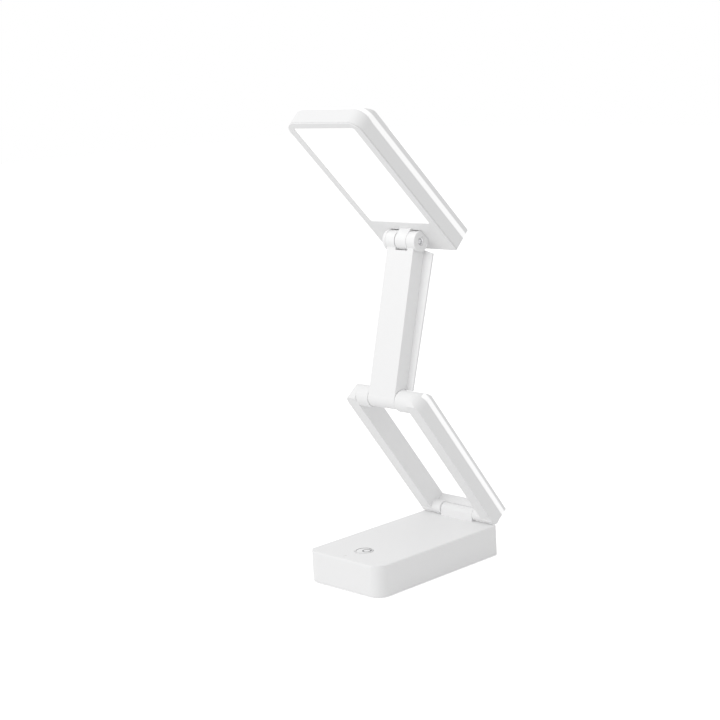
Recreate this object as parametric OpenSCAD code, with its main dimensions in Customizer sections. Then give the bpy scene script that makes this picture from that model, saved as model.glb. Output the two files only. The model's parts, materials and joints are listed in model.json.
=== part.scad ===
// Folding desk lamp. A flat base carries an open frame arm, a slim upper arm and a light panel,
// joined by three friction hinges that fold the lamp like an accordion.
// X is across the lamp, the front looks along -Y and +Z is up.
// The origin is on the table, under the middle of the base.

/* [Base] */
// Width of the base
base_w = 60; // [56:0.5:70]
// Length of the base from front to back
base_len = 104.3; // [100:0.1:125]
// Height of the base above the table
base_h = 19.4; // [19.4:0.1:26]
// Plan radius of the two front corners
base_front_r = 8; // [5:0.5:12]
// Plan radius of the two back corners
base_back_r = 1.5; // [0.8:0.1:3]
// Rounding of the top edge
base_edge_r = 1; // [0.5:0.1:1.5]
// Wall of the base housing
base_wall = 1.8; // [1.4:0.1:2.2]
// Thickness of the bottom cover
cover_t = 1.8; // [1.4:0.1:2.2]
// Thickness of the soft pad under the base
pad_t = 0.9; // [0.7:0.1:1.2]
// How far the pad stands below the cover
pad_proud = 0.5; // [0.3:0.1:0.6]

/* [Button] */
// Radius of the push button
button_r = 5.4; // [4:0.1:7]
// Distance of the button from the front of the base
button_back = 18.8; // [17:0.1:24]
// Travel of the button
button_travel = 0.5; // [0.3:0.1:0.6]
// Radius of the indicator light
lens_r = 0.9; // [0.6:0.1:1.2]
// Distance of the indicator light from the front of the base
lens_back = 5.5; // [4.5:0.1:7]
// How far the indicator light sits left of the middle
lens_left = 2.5; // [0:0.1:6]

/* [Lower arm] */
// How far the frame's sides lie in from the base's sides
frame_inset = 0.4; // [0:0.1:2]
// Thickness of the open frame
frame_t = 13.7; // [13:0.1:15]
// Width of each side bar
bar_w = 8.9; // [8.5:0.1:10]
// Distance from the shoulder axis to the elbow axis
lower_len = 102.1; // [98:0.1:106]
// Plan radius of the two free corners
frame_corner_r = 8; // [5:0.5:9]
// Depth where the front shell ends and the trim band starts
frame_split = 8.7; // [8.3:0.1:9.2]
// Width of the trim band on the sides
frame_band = 3; // [2:0.1:3.2]
// Wall of the arm shells
arm_wall = 1.6; // [1.2:0.1:1.8]

/* [Upper arm] */
// Width of the upper arm
upper_w = 21.6; // [20:0.1:23]
// Depth of its front shell
upper_t = 9.4; // [9:0.1:10]
// Distance along the arm from the elbow axis to the head axis
upper_len = 94.1; // [93:0.1:98]
// Thickness of its wider back cover
flange_t = 1.3; // [1:0.1:1.6]
// Width of the back cover near the elbow
flange_low_w = 31; // [28:0.5:33]
// Width of the back cover near the head
flange_high_w = 35.6; // [33:0.1:37]

/* [Head] */
// How far the panel's sides lie in from the base's sides
head_side_inset = 0.9; // [0:0.1:2]
// Length of the light panel
head_len = 111.1; // [106:0.1:114]
// Thickness of the light panel
head_t = 15.7; // [15:0.1:17]
// Plan radius of its two free corners
head_corner_r = 8; // [5:0.5:10]
// Distance of the head axis from the hinge end
head_inset = 13.45; // [12.5:0.05:14]
// Depth where the front shell ends and the trim band starts
head_split = 8.9; // [8.6:0.1:9.3]
// Width of the trim band
head_band_w = 3.4; // [2.5:0.1:3.6]
// Outer rounding of the back shell
head_back_r = 1.2; // [0.8:0.1:2]
// Depth of the flat end wall at the free end
head_end_t = 11.1; // [10.5:0.1:11.5]
// How far the back slopes down to the end wall
head_end_slope = 11; // [9:0.1:12]
// Bezel at the sides of the window
bezel_side = 4.9; // [4.5:0.1:7]
// Bezel at the free end of the window
bezel_end = 4.2; // [4.1:0.1:7]
// Distance of the window from the hinge end
bezel_hinge = 24.3; // [24:0.1:30]
// Corner radius of the window
window_r = 1.5; // [1:0.1:3]

/* [Hinges] */
// Width of the hinge boss on the base
boss_w = 25.6; // [22:0.1:28]
// Radius of the boss and of the arm's segments beside it
shoulder_r = 3.5; // [3.3:0.1:3.6]
// Height of the shoulder axis above the top of the base
shoulder_rise = 4.1; // [4:0.05:4.4]
// Radius of the elbow barrel
elbow_r = 5.55; // [5.4:0.05:5.7]
// Depth of the elbow axis in the frame
elbow_depth = 5.9; // [5.9:0.05:6.2]
// Depth of the elbow axis in the upper arm
elbow_back = 5.3; // [5.2:0.05:5.5]
// Radius of the two ears at the head
head_r = 5.9; // [5.7:0.05:6]
// Width over the two ears
ears_w = 25.2; // [24:0.1:26]
// Width of the tongue between the ears
tongue_w = 8.8; // [8:0.1:11]
// How far the tongue sits right of the middle
tongue_x = 1.1; // [0:0.1:1.5]
// Depth of the head axis in the upper arm
head_axis_back = 3.6; // [3.5:0.05:3.9]
// Distance of the head axis in front of the panel's face
head_axis_front = 4.8; // [4.7:0.05:5]
// Radius of the shoulder pin
shoulder_pin_r = 1; // [0.8:0.05:1.1]
// Radius of the elbow pin and the head pin
pin_r = 1.5; // [1.2:0.05:1.6]

/* [Pose] */
// Slope of the lower arm above the table in degrees
lower_angle = 53.05; // [50:0.05:60]
// Slope of the upper arm, past upright, in degrees
upper_angle = 104.5; // [100:0.05:108]
// Slope of the light panel above the table in degrees
head_angle = 45.5; // [42:0.05:50]

/* [Hidden] */
$fn = 64;

// Clearances and overruns
run_fit = 0.05;
seat_fit = 0.02;
side_gap = 0.35;
swing_gap = 0.4;
panel_gap = 0.2;
over = 1;

// Base levels and places
back_y = base_len / 2;
front_y = -base_len / 2;
cover_top = pad_proud + cover_t;
roof_z = base_h - base_wall;
inner_w = base_w - 2 * base_wall;
inner_front_r = base_front_r - base_wall;
button_y = front_y + button_back;
frame_w = base_w - 2 * frame_inset;
head_w = base_w - 2 * head_side_inset;
lens_x = -lens_left;
lens_y = front_y + lens_back;
shoulder_y = back_y;
shoulder_z = base_h + shoulder_rise;

// Screws: self-tapping, pan head
screw_r = 1;
screw_head_r = 1.9;
screw_head_h = 1.1;
post_r = 2.6;
post_inset = 5;
base_screw_len = 8;
arm_screw_len = 6;
cover_ledge = 3.2;

// Inside the base
ballast_w = 40;
ballast_len = 52;
ballast_t = 3;
battery_w = 36;
battery_len = 42;
battery_t = 8;
battery_r = 3;
battery_y = -1;
board_t = 1.2;
board_w = 36;
board_len = 26;
board_lift = 5.1;
board_top = cover_top + board_lift;
board_y = back_y - base_wall - board_len / 2 - panel_gap;
board_post_x = 14;
board_post_front = 4;
board_post_r = 2;
board_screw_len = 5;
socket_w = 8.94;
socket_h = 3.26;
socket_len = 7.3;
socket_wall = 0.3;
socket_tongue_w = 6.7;
socket_tongue_t = 0.7;
socket_set = 0.3;
switch_board_w = 32;
switch_board_len = 10;
switch_post_x = 12.8;
cap_flange = 1.2;
cap_flange_r = button_r + cap_flange;
cap_flange_t = 1.5;
cap_gap = 0.25;
cap_rest_gap = 0.1;
cap_proud = 0.2;
cap_skin = 0.9;
cap_rim = 0.9;
cap_bottom = roof_z - cap_rest_gap - cap_flange_t;
plunger_r = 1.75;
plunger_len = 2.4;
plunger_gap = 0.15;
switch_w = 6.2;
switch_clear = 0.2;
switch_lift = button_travel + switch_clear;
switch_top = cap_bottom - switch_lift;
switch_h = 3.4;
switch_floor = 1;
switch_board_top = switch_top - switch_h;

// Lower arm, in its own frame: Y runs back from the axis, Z is depth behind the front face
arm_gap = 0.5;
shoulder_depth = shoulder_rise - arm_gap;
frame_far = lower_len + elbow_r;
frame_back_r = frame_t - elbow_depth;
frame_near_r = 0.8;
opening_x = frame_w / 2 - bar_w;
ledge_back = 0.8;
frame_band_end = frame_split + frame_band;
inner_wall_t = 1.4;
inner_wall_step = 0.5;
inner_wall_depth = frame_band_end - inner_wall_step;
band_t = 2;
channel_margin = 5;
channel_near = shoulder_depth + channel_margin;
channel_far = lower_len - elbow_r - channel_margin;
end_wall_front = shoulder_depth + shoulder_r + swing_gap;
end_wall_s = 0.7;
back_rebate = 1;
frame_post_r = 2;
frame_post_x = frame_w / 2 - band_t - frame_post_r - run_fit;
frame_post_margin = 5;
frame_post_s = [
    channel_near + frame_post_margin,
    (channel_near + channel_far) / 2,
    channel_far - frame_post_margin
];
segment_in = boss_w / 2 + side_gap;
elbow_in = upper_w / 2 + side_gap;
pin_head_r = 2.4;
pin_head_h = 1;
pin_end = 3.4;
elbow_pin_sink = 2;
wire_r = 0.5;
washer_t = 0.25;

// Upper arm, in its own frame, from the elbow axis
upper_cavity_near = 9;
upper_cavity_margin = 12;
upper_cavity_far = upper_len - upper_cavity_margin;
upper_top_gap = 4.5;
upper_top = upper_len - upper_top_gap;
slot_half = tongue_w / 2 + side_gap;
tongue_step = 0.2;
tongue_r = head_r - tongue_step;
slot_r = tongue_r + swing_gap;
flange_near_gap = 2.45;
flange_far_gap = 6;
flange_near = elbow_r + flange_near_gap;
flange_far = upper_len - flange_far_gap;
flange_slant = 1.5;
upper_post_margin = 7;
upper_post_s = [upper_cavity_near + upper_post_margin, upper_len / 2, upper_cavity_far - upper_post_margin];
bush_wall = 0.9;
elbow_bush_r = pin_r + run_fit + bush_wall;
shoulder_bush_r = shoulder_pin_r + run_fit + bush_wall;
ear_edge = 0.6;

// Head, in its own frame, from the head axis; Z is depth behind the face
head_near = -head_inset;
head_far = head_len - head_inset;
head_wall = 1.8;
window_x = head_w / 2 - bezel_side;
window_near = head_near + bezel_hinge;
window_far = head_far - bezel_end;
window_mid = (window_near + window_far) / 2;
window_len = window_far - window_near;
panel_set = 0.4;
panel_flange = 1.6;
panel_flange_t = 1.2;
light_gap = 4.4;
head_band_end = head_split + head_band_w;
head_band_t = 2;
band_lip = 0.5;
end_bevel = 0.25;
end_bevel_share = 1.12;
end_hollow = 3.5;
band_rise = 9.4;
reflector_t = 1.2;
reflector_back = head_wall + panel_flange_t + light_gap;
led_board_t = 1.6;
led_w = 3.5;
led_len = 2.8;
led_t = 0.7;
led_rows = 8;
led_cols = 4;
groove_r = head_r + swing_gap;
groove_wall = 1.5;
head_near_r = 0.8;
head_end_drop = head_t - head_end_t;
head_end_r = (head_end_slope * head_end_slope / head_end_drop + head_end_drop) / 2;
head_post_r = 2.2;
head_post_margin = 5.5;
head_post_s = [head_near + head_post_margin, window_near - head_post_margin];
head_post_inset = 6;
head_post_x = head_w / 2 - head_post_inset;

// Solid cylinder along X from x0 to x1
module bar_x(r, x0, x1) {
    translate([x0, 0, 0])
        rotate([0, 90, 0])
            cylinder(r = r, h = x1 - x0);
}

// Extrudes a profile drawn in (Y, Z) along X, centred
module along_x(w) {
    rotate([90, 0, 90])
        linear_extrude(height = w, center = true)
            children();
}

// Extrudes a profile drawn in (X, Z) along Y, centred
module along_y(l) {
    rotate([90, 0, 0])
        linear_extrude(height = l, center = true)
            children();
}

// Plan outline: width w, from s0 back to s1 at the free end, with its corner radii; s runs along -Y
module plan(w, s0, s1, r0, r1) {
    translate([-w / 2, -(s1 - r1)])
        square([w, s1 - r1 - s0 - r0]);
    translate([-w / 2 + r1, -s1])
        square([w - 2 * r1, s1 - s0 - r0]);
    translate([-w / 2 + r0, -s1 + r1])
        square([w - 2 * r0, s1 - s0 - r1]);
    for (side = [-1, 1]) {
        translate([side * (w / 2 - r1), -(s1 - r1)])
            circle(r = r1);
        translate([side * (w / 2 - r0), -(s0 + r0)])
            circle(r = r0);
    }
}

// Rounded rectangle, centred
module rounded(w, l, r) {
    square([w - 2 * r, l], center = true);
    square([w, l - 2 * r], center = true);
    for (x = [-1, 1], y = [-1, 1])
        translate([x * (w / 2 - r), y * (l / 2 - r)])
            circle(r = r);
}

// Slab of an outline between two levels
module slab(z0, z1) {
    translate([0, 0, z0])
        linear_extrude(height = z1 - z0)
            children();
}

// Pan-head screw with its seat at the origin and its shank along +Z
module screw(length) {
    translate([0, 0, -screw_head_h])
        cylinder(r = screw_head_r, h = screw_head_h);
    translate([0, 0, -screw_head_h])
        cylinder(r = screw_r, h = length + screw_head_h);
}

// Room for a screw: pilot bore and head recess opening downwards
module screw_room(length, recess) {
    cylinder(r = screw_r + run_fit, h = length + run_fit);
    translate([0, 0, -recess])
        cylinder(r = screw_head_r + run_fit, h = recess);
}

// Places of the four base screws
module at_base_posts() {
    for (x = [-1, 1], y = [front_y + base_wall + post_inset + base_wall, back_y - base_wall - post_inset])
        translate([x * (base_w / 2 - base_wall - post_inset + base_wall), y, 0])
            children();
}

// Places of the two screws of the switch board and the two of the control board
module at_board_posts(board) {
    for (x = [-1, 1])
        if (board == "switch")
            translate([x * switch_post_x, button_y, 0])
                children();
        else
            translate([x * board_post_x, board_y - board_len / 2 + board_post_front, 0])
                children();
}

// Moves a piece drawn in an arm's own frame to its place in the lamp
module place_lower() {
    translate([0, shoulder_y, shoulder_z])
        rotate([-lower_angle, 0, 0])
            translate([0, 0, -shoulder_depth])
                children();
}

elbow_y = shoulder_y - lower_len * cos(lower_angle) + (elbow_depth - shoulder_depth) * sin(lower_angle);
elbow_z = shoulder_z + lower_len * sin(lower_angle) + (elbow_depth - shoulder_depth) * cos(lower_angle);

module place_upper() {
    translate([0, elbow_y, elbow_z])
        rotate([-upper_angle, 0, 0])
            translate([0, 0, -elbow_back])
                children();
}

head_y = elbow_y - upper_len * cos(upper_angle) - (elbow_back - head_axis_back) * sin(upper_angle);
head_z = elbow_z + upper_len * sin(upper_angle) - (elbow_back - head_axis_back) * cos(upper_angle);

module place_head() {
    translate([0, head_y, head_z])
        rotate([-head_angle, 0, 0])
            translate([0, 0, head_axis_front])
                children();
}

// Base

module base_outer() {
    intersection() {
        slab(pad_proud, base_h)
            plan(base_w, -back_y, back_y, base_back_r, base_front_r);
        along_x(base_w)
            base_profile(base_len);
        along_y(base_len)
            base_profile(base_w);
    }
}

module base_profile(span) {
    translate([-span / 2, 0])
        square([span, base_h - base_edge_r]);
    translate([-span / 2 + base_edge_r, 0])
        square([span - 2 * base_edge_r, base_h]);
    for (side = [-1, 1])
        translate([side * (span / 2 - base_edge_r), base_h - base_edge_r])
            circle(r = base_edge_r);
}

module boss() {
    translate([0, shoulder_y, shoulder_z])
        bar_x(shoulder_r, -boss_w / 2, boss_w / 2);
    translate([-boss_w / 2, shoulder_y - shoulder_r, base_h - base_wall])
        cube([boss_w, shoulder_r, shoulder_rise + base_wall]);
}

module base_housing() {
    color("white")
        difference() {
            union() {
                difference() {
                    base_outer();
                    slab(-over, roof_z)
                        plan(inner_w, -back_y + base_wall, back_y - base_wall, base_back_r, inner_front_r);
                }
                intersection() {
                    at_base_posts()
                        slab(cover_top, roof_z + base_wall / 2)
                            circle(r = post_r + screw_r);
                    base_outer();
                }
                at_board_posts("switch")
                    slab(switch_board_top, roof_z + base_wall / 2)
                        circle(r = board_post_r);
                at_board_posts("control")
                    slab(board_top, roof_z + base_wall / 2)
                        circle(r = board_post_r);
                boss();
            }
            at_base_posts()
                translate([0, 0, cover_top - over])
                    cylinder(r = screw_r + run_fit, h = base_screw_len + over);
            at_board_posts("switch")
                translate([0, 0, switch_board_top - over])
                    cylinder(r = screw_r + run_fit, h = board_screw_len + over);
            at_board_posts("control")
                translate([0, 0, board_top - over])
                    cylinder(r = screw_r + run_fit, h = board_screw_len + over);
            translate([0, button_y, roof_z - over])
                cylinder(r = button_r + cap_gap, h = base_wall + 2 * over);
            translate([lens_x, lens_y, roof_z - over])
                cylinder(r = lens_r + seat_fit, h = base_wall + 2 * over);
            translate([0, shoulder_y, shoulder_z])
                bar_x(shoulder_bush_r + seat_fit, -boss_w / 2 - over, boss_w / 2 + over);
            translate([0, back_y, board_top + socket_h / 2])
                along_y(2 * base_wall + over)
                    rounded(socket_w + 2 * panel_gap, socket_h + 2 * panel_gap, socket_h / 2);
        }
}

module base_cover() {
    color("white")
        difference() {
            slab(pad_proud, cover_top)
                plan(inner_w - 2 * panel_gap, -back_y + base_wall + panel_gap, back_y - base_wall - panel_gap,
                     base_back_r, inner_front_r);
            slab(pad_proud - over, pad_t)
                plan(inner_w - 2 * cover_ledge, -back_y + base_wall + cover_ledge, back_y - base_wall - cover_ledge,
                     base_back_r, inner_front_r - panel_gap);
            at_base_posts()
                translate([0, 0, cover_top - over])
                    cylinder(r = screw_r + run_fit, h = 2 * over);
            at_base_posts()
                translate([0, 0, pad_t - over])
                    cylinder(r = screw_head_r + run_fit, h = screw_head_h + over);
        }
}

module base_pad() {
    color("dimgray")
        slab(0, pad_t)
            plan(inner_w - 2 * cover_ledge - 2 * panel_gap, -back_y + base_wall + cover_ledge + panel_gap,
                 back_y - base_wall - cover_ledge - panel_gap, base_back_r, inner_front_r - 2 * panel_gap);
}

module ballast_plate() {
    color("silver")
        translate([0, battery_y, 0])
            slab(cover_top, cover_top + ballast_t)
                rounded(ballast_w, ballast_len, battery_r);
}

module battery_pack() {
    color("slategray")
        translate([0, battery_y, 0])
            slab(cover_top + ballast_t, cover_top + ballast_t + battery_t)
                rounded(battery_w, battery_len, battery_r);
}

module control_board() {
    color("green")
        difference() {
            translate([-board_w / 2, board_y - board_len / 2, board_top - board_t])
                cube([board_w, board_len, board_t]);
            at_board_posts("control")
                translate([0, 0, board_top - board_t - over])
                    cylinder(r = screw_r + run_fit, h = board_t + 2 * over);
        }
}

chip_w = 6;
chip_t = 1.4;
coil_r = 3.2;
coil_h = 3.5;
cap_r = 2.2;
cap_h = 5;
chip_y = board_y + 2;

module board_components() {
    color("black") {
        translate([-chip_w / 2, chip_y - chip_w, board_top])
            cube([chip_w, chip_w, chip_t]);
        translate([-board_w / 2 + coil_r * 2, chip_y, board_top])
            cylinder(r = coil_r, h = coil_h);
        translate([board_w / 2 - coil_r * 2, chip_y, board_top])
            cylinder(r = cap_r, h = cap_h);
    }
}

module charge_socket() {
    color("silver")
        translate([0, back_y - socket_set - socket_len / 2, board_top + socket_h / 2]) {
            difference() {
                along_y(socket_len)
                    rounded(socket_w, socket_h, socket_h / 2 - seat_fit);
                translate([0, socket_wall + over, 0])
                    along_y(socket_len + 2 * over)
                        rounded(socket_w - 2 * socket_wall, socket_h - 2 * socket_wall,
                                socket_h / 2 - socket_wall - seat_fit);
            }
            translate([-socket_tongue_w / 2, -socket_len / 2, -socket_tongue_t / 2])
                cube([socket_tongue_w, socket_len - 2 * socket_tongue_t, socket_tongue_t]);
        }
}

module switch_board() {
    color("green")
        difference() {
            translate([-switch_board_w / 2, button_y - switch_board_len / 2, switch_board_top - board_t])
                cube([switch_board_w, switch_board_len, board_t]);
            at_board_posts("switch")
                translate([0, 0, switch_board_top - board_t - over])
                    cylinder(r = screw_r + run_fit, h = board_t + 2 * over);
        }
}

module switch_body() {
    color("black")
        difference() {
            translate([-switch_w / 2, button_y - switch_w / 2, switch_board_top])
                cube([switch_w, switch_w, switch_h]);
            translate([0, button_y, switch_board_top + switch_floor])
                cylinder(r = plunger_r + plunger_gap, h = switch_h);
        }
}

module switch_plunger() {
    color("black")
        translate([0, button_y, cap_bottom - plunger_len])
            cylinder(r = plunger_r, h = plunger_len);
}

module power_button() {
    color("white")
        translate([0, button_y, 0])
            difference() {
                union() {
                    slab(cap_bottom, cap_bottom + cap_flange_t)
                        circle(r = cap_flange_r);
                    slab(cap_bottom, base_h + cap_proud)
                        circle(r = button_r);
                }
                // Shallow ring pressed into the cap, a plain touch mark
                slab(base_h + cap_proud - cap_proud, base_h + cap_proud + over)
                    difference() {
                        circle(r = button_r - cap_rim);
                        circle(r = button_r - cap_rim - cap_skin / 2);
                    }
            }
}

module indicator_lens() {
    color("lightyellow") {
        translate([lens_x, lens_y, 0]) {
            slab(roof_z - lens_r, roof_z)
                circle(r = 2 * lens_r);
            slab(roof_z - lens_r, base_h)
                circle(r = lens_r);
        }
    }
}

module base_screws() {
    color("silver")
        at_base_posts()
            translate([0, 0, pad_t + screw_head_h])
                screw(base_screw_len - cover_t / 2);
}

module board_screws() {
    color("silver") {
        at_board_posts("switch")
            translate([0, 0, switch_board_top - board_t])
                screw(board_screw_len);
        at_board_posts("control")
            translate([0, 0, board_top - board_t])
                screw(board_screw_len);
    }
}

module shoulder_bush() {
    color("ivory")
        translate([0, shoulder_y, shoulder_z])
            difference() {
                bar_x(shoulder_bush_r, -boss_w / 2, boss_w / 2);
                bar_x(shoulder_pin_r + run_fit, -boss_w / 2 - over, boss_w / 2 + over);
            }
}

// Lower arm

// Side view of the frame: round at the shoulder and at the elbow, full depth between
module frame_profile() {
    near = shoulder_depth;
    translate([0, near])
        circle(r = near);
    translate([0, near])
        square([near, frame_t - near]);
    translate([-(lower_len - ledge_back), 0])
        square([lower_len - ledge_back, frame_t]);
    translate([-lower_len, elbow_depth])
        circle(r = elbow_r);
    translate([-(frame_far - frame_back_r), elbow_depth])
        circle(r = frame_back_r);
}

// The frame's outside between two depths
module frame_solid(z0, z1) {
    intersection() {
        slab(z0, z1)
            plan(frame_w, -shoulder_depth, frame_far, frame_near_r, frame_corner_r);
        along_x(frame_w)
            frame_profile();
    }
}

// Everything between the two side bars
module between_bars(half, s0, s1, z0, z1) {
    translate([-half, -s1, z0])
        cube([2 * half, s1 - s0, z1 - z0]);
}

module at_frame_posts() {
    for (side = [-1, 1], s = frame_post_s)
        translate([side * frame_post_x, -s, 0])
            children();
}

module shoulder_bore() {
    translate([0, 0, shoulder_depth]) {
        bar_x(shoulder_pin_r + seat_fit, -frame_w / 2 - over, opening_x + pin_end);
        bar_x(pin_head_r + seat_fit, -frame_w / 2 - over, -frame_w / 2 + pin_head_h);
    }
}

module elbow_bore() {
    translate([0, -lower_len, elbow_depth]) {
        bar_x(pin_r + seat_fit, -frame_w / 2 - over, opening_x + pin_end);
        bar_x(pin_head_r + seat_fit, -frame_w / 2 - over, -frame_w / 2 + pin_head_h + elbow_pin_sink);
    }
}

module lower_front_shell() {
    color("white")
        place_lower()
            difference() {
                union() {
                    // Side bars: outer channel and the deeper inner wall
                    difference() {
                        frame_solid(0, frame_split);
                        between_bars(opening_x, -shoulder_depth - over, frame_far + over, -over, frame_t);
                        for (side = [-1, 1])
                            translate([side * (opening_x + inner_wall_t + frame_w / 2 - arm_wall) / 2, 0, 0])
                                between_bars((frame_w / 2 - arm_wall - opening_x - inner_wall_t) / 2,
                                             channel_near, channel_far, arm_wall, frame_t);
                    }
                    intersection() {
                        frame_solid(0, inner_wall_depth);
                        for (side = [-1, 1])
                            translate([side * (opening_x + inner_wall_t / 2), 0, 0])
                                between_bars(inner_wall_t / 2, end_wall_s, channel_far, 0, frame_t);
                    }
                    at_frame_posts()
                        slab(arm_wall / 2, frame_band_end)
                            circle(r = frame_post_r);
                    // Wall behind the hinge boss
                    intersection() {
                        frame_solid(0, inner_wall_depth);
                        union() {
                            between_bars(opening_x + inner_wall_t, -shoulder_depth - over, end_wall_s,
                                         end_wall_front, frame_split);
                            between_bars(opening_x + inner_wall_t, -shoulder_depth + band_t + seat_fit, end_wall_s,
                                         end_wall_front, inner_wall_depth);
                        }
                    }
                    // Round segments beside the boss and beside the elbow knuckle
                    for (side = [-1, 1]) {
                        translate([0, 0, shoulder_depth])
                            mirror([side > 0 ? 0 : 1, 0, 0])
                                bar_x(shoulder_r, segment_in, opening_x + inner_wall_t);
                        translate([0, -lower_len, elbow_depth])
                            mirror([side > 0 ? 0 : 1, 0, 0])
                                bar_x(elbow_r, elbow_in, opening_x);
                        mirror([side > 0 ? 0 : 1, 0, 0])
                            translate([segment_in, -end_wall_s, shoulder_depth])
                                cube([opening_x + inner_wall_t - segment_in, end_wall_s + shoulder_r / 2,
                                      end_wall_front - shoulder_depth + inner_wall_t / 2]);
                    }
                }
                shoulder_bore();
                elbow_bore();
                at_frame_posts()
                    translate([0, 0, frame_band_end - arm_screw_len])
                        cylinder(r = screw_r + run_fit, h = arm_screw_len + over);
            }
}

// Ring of the frame's outline, band_t wide, open behind the elbow barrel
module frame_ring(z0, z1, t) {
    difference() {
        frame_solid(z0, z1);
        slab(z0 - over, z1 + over)
            plan(frame_w - 2 * t, -shoulder_depth + t, frame_far - t, frame_near_r, frame_corner_r - t);
        between_bars(opening_x, channel_far, frame_far + over, z0 - over, z1 + over);
    }
}

module lower_band() {
    color("snow")
        place_lower()
            frame_ring(frame_split, frame_band_end, band_t);
}

module lower_back_shell() {
    color("white")
        place_lower()
            difference() {
                union() {
                    difference() {
                        frame_solid(frame_band_end, frame_t);
                        between_bars(opening_x + back_rebate, end_wall_s + back_rebate, channel_far,
                                     -over, frame_t + over);
                        between_bars(opening_x, channel_far - over, frame_far + over, -over, frame_t + over);
                    }
                    // Corner blocks that fill the band behind the elbow
                    intersection() {
                        frame_solid(frame_split + seat_fit, frame_t);
                        for (side = [-1, 1])
                            translate([side * (opening_x + frame_w / 2 - band_t - seat_fit) / 2, 0, 0])
                                between_bars((frame_w / 2 - band_t - seat_fit - opening_x) / 2,
                                             channel_far + over, frame_far - band_t - seat_fit, 0, frame_t);
                        slab(0, frame_t)
                            plan(frame_w - 2 * band_t - 2 * seat_fit, 0, frame_far - band_t - seat_fit,
                                 frame_near_r, frame_corner_r - band_t - seat_fit);
                    }
                }
                at_frame_posts()
                    translate([0, 0, frame_band_end - over])
                        cylinder(r = screw_r + run_fit, h = frame_t);
                at_frame_posts()
                    translate([0, 0, frame_t - screw_head_h])
                        cylinder(r = screw_head_r + run_fit, h = screw_head_h + over);
            }
}

module lower_screws() {
    color("silver")
        place_lower()
            at_frame_posts()
                translate([0, 0, frame_t - screw_head_h])
                    mirror([0, 0, 1])
                        screw(arm_screw_len);
}

module lower_wires() {
    color("firebrick")
        place_lower()
            for (z = [wire_r, 3 * wire_r + run_fit])
                translate([-opening_x - inner_wall_t - wire_r - run_fit, -channel_near - run_fit,
                           arm_wall + z + run_fit])
                    rotate([90, 0, 0])
                        cylinder(r = wire_r, h = channel_far - channel_near - 2 * run_fit);
}

module shoulder_pin() {
    color("silver")
        place_lower()
            translate([0, 0, shoulder_depth]) {
                bar_x(shoulder_pin_r, -frame_w / 2, opening_x + pin_end - run_fit);
                bar_x(pin_head_r, -frame_w / 2, -frame_w / 2 + pin_head_h - run_fit);
            }
}

module elbow_pin() {
    color("silver")
        place_lower()
            translate([0, -lower_len, elbow_depth]) {
                bar_x(pin_r, -frame_w / 2 + elbow_pin_sink, opening_x + pin_end - run_fit);
                bar_x(pin_head_r, -frame_w / 2 + elbow_pin_sink,
                      -frame_w / 2 + elbow_pin_sink + pin_head_h - run_fit);
            }
}

// Two thin washers, one each side of a knuckle whose half width is given
module washers(half, outer, hole) {
    for (side = [0, 1])
        mirror([side, 0, 0])
            difference() {
                bar_x(outer, half + (side_gap - washer_t) / 2, half + (side_gap + washer_t) / 2);
                bar_x(hole + seat_fit, half - over, half + side_gap + over);
            }
}

module shoulder_washers() {
    color("gray")
        place_lower()
            translate([0, 0, shoulder_depth])
                washers(boss_w / 2, shoulder_r - side_gap, shoulder_pin_r);
}

module elbow_washers() {
    color("gray")
        place_lower()
            translate([0, -lower_len, elbow_depth])
                washers(upper_w / 2, elbow_r - side_gap, pin_r);
}

// Upper arm

module at_upper_posts() {
    for (s = upper_post_s)
        translate([0, -s, 0])
            children();
}

module upper_front_shell() {
    color("white")
        place_upper()
            difference() {
                union() {
                    translate([-upper_w / 2, -upper_top, 0])
                        cube([upper_w, upper_top, upper_t]);
                    translate([0, 0, elbow_back])
                        bar_x(elbow_r, -upper_w / 2, upper_w / 2);
                    for (side = [-1, 1])
                        mirror([side > 0 ? 0 : 1, 0, 0])
                            translate([0, -upper_len, head_axis_back])
                                ear(slot_half + side * tongue_x);
                }
                // Hollow inside
                translate([-upper_w / 2 + arm_wall, -upper_cavity_far, arm_wall])
                    cube([upper_w - 2 * arm_wall, upper_cavity_far - upper_cavity_near, upper_t]);
                // Slot for the tongue of the head
                translate([tongue_x - slot_half, -upper_len - head_r - over, -head_r])
                    cube([2 * slot_half, head_r + over + slot_r, upper_t + 2 * head_r]);
                translate([0, 0, elbow_back])
                    bar_x(elbow_bush_r + seat_fit, -upper_w / 2 - over, upper_w / 2 + over);
                translate([0, -upper_len, head_axis_back])
                    bar_x(pin_r + seat_fit, -ears_w / 2 - over, ears_w / 2 + over);
                translate([0, -upper_len, head_axis_back])
                    bar_x(pin_head_r + seat_fit, ears_w / 2 - pin_head_h, ears_w / 2 + over);
            }
    color("white")
        place_upper()
            difference() {
                at_upper_posts()
                    slab(arm_wall / 2, upper_t)
                        circle(r = post_r);
                at_upper_posts()
                    translate([0, 0, upper_t - arm_screw_len])
                        cylinder(r = screw_r + run_fit, h = arm_screw_len + over);
            }
}

// One ear of the head hinge, from its inner face at x0, with a softened outer edge
module ear(x0) {
    rotate([0, 90, 0])
        rotate_extrude()
            polygon([
                [0, x0],
                [head_r, x0],
                [head_r, ears_w / 2 - ear_edge],
                [head_r - ear_edge, ears_w / 2],
                [0, ears_w / 2]
            ]);
}

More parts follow.
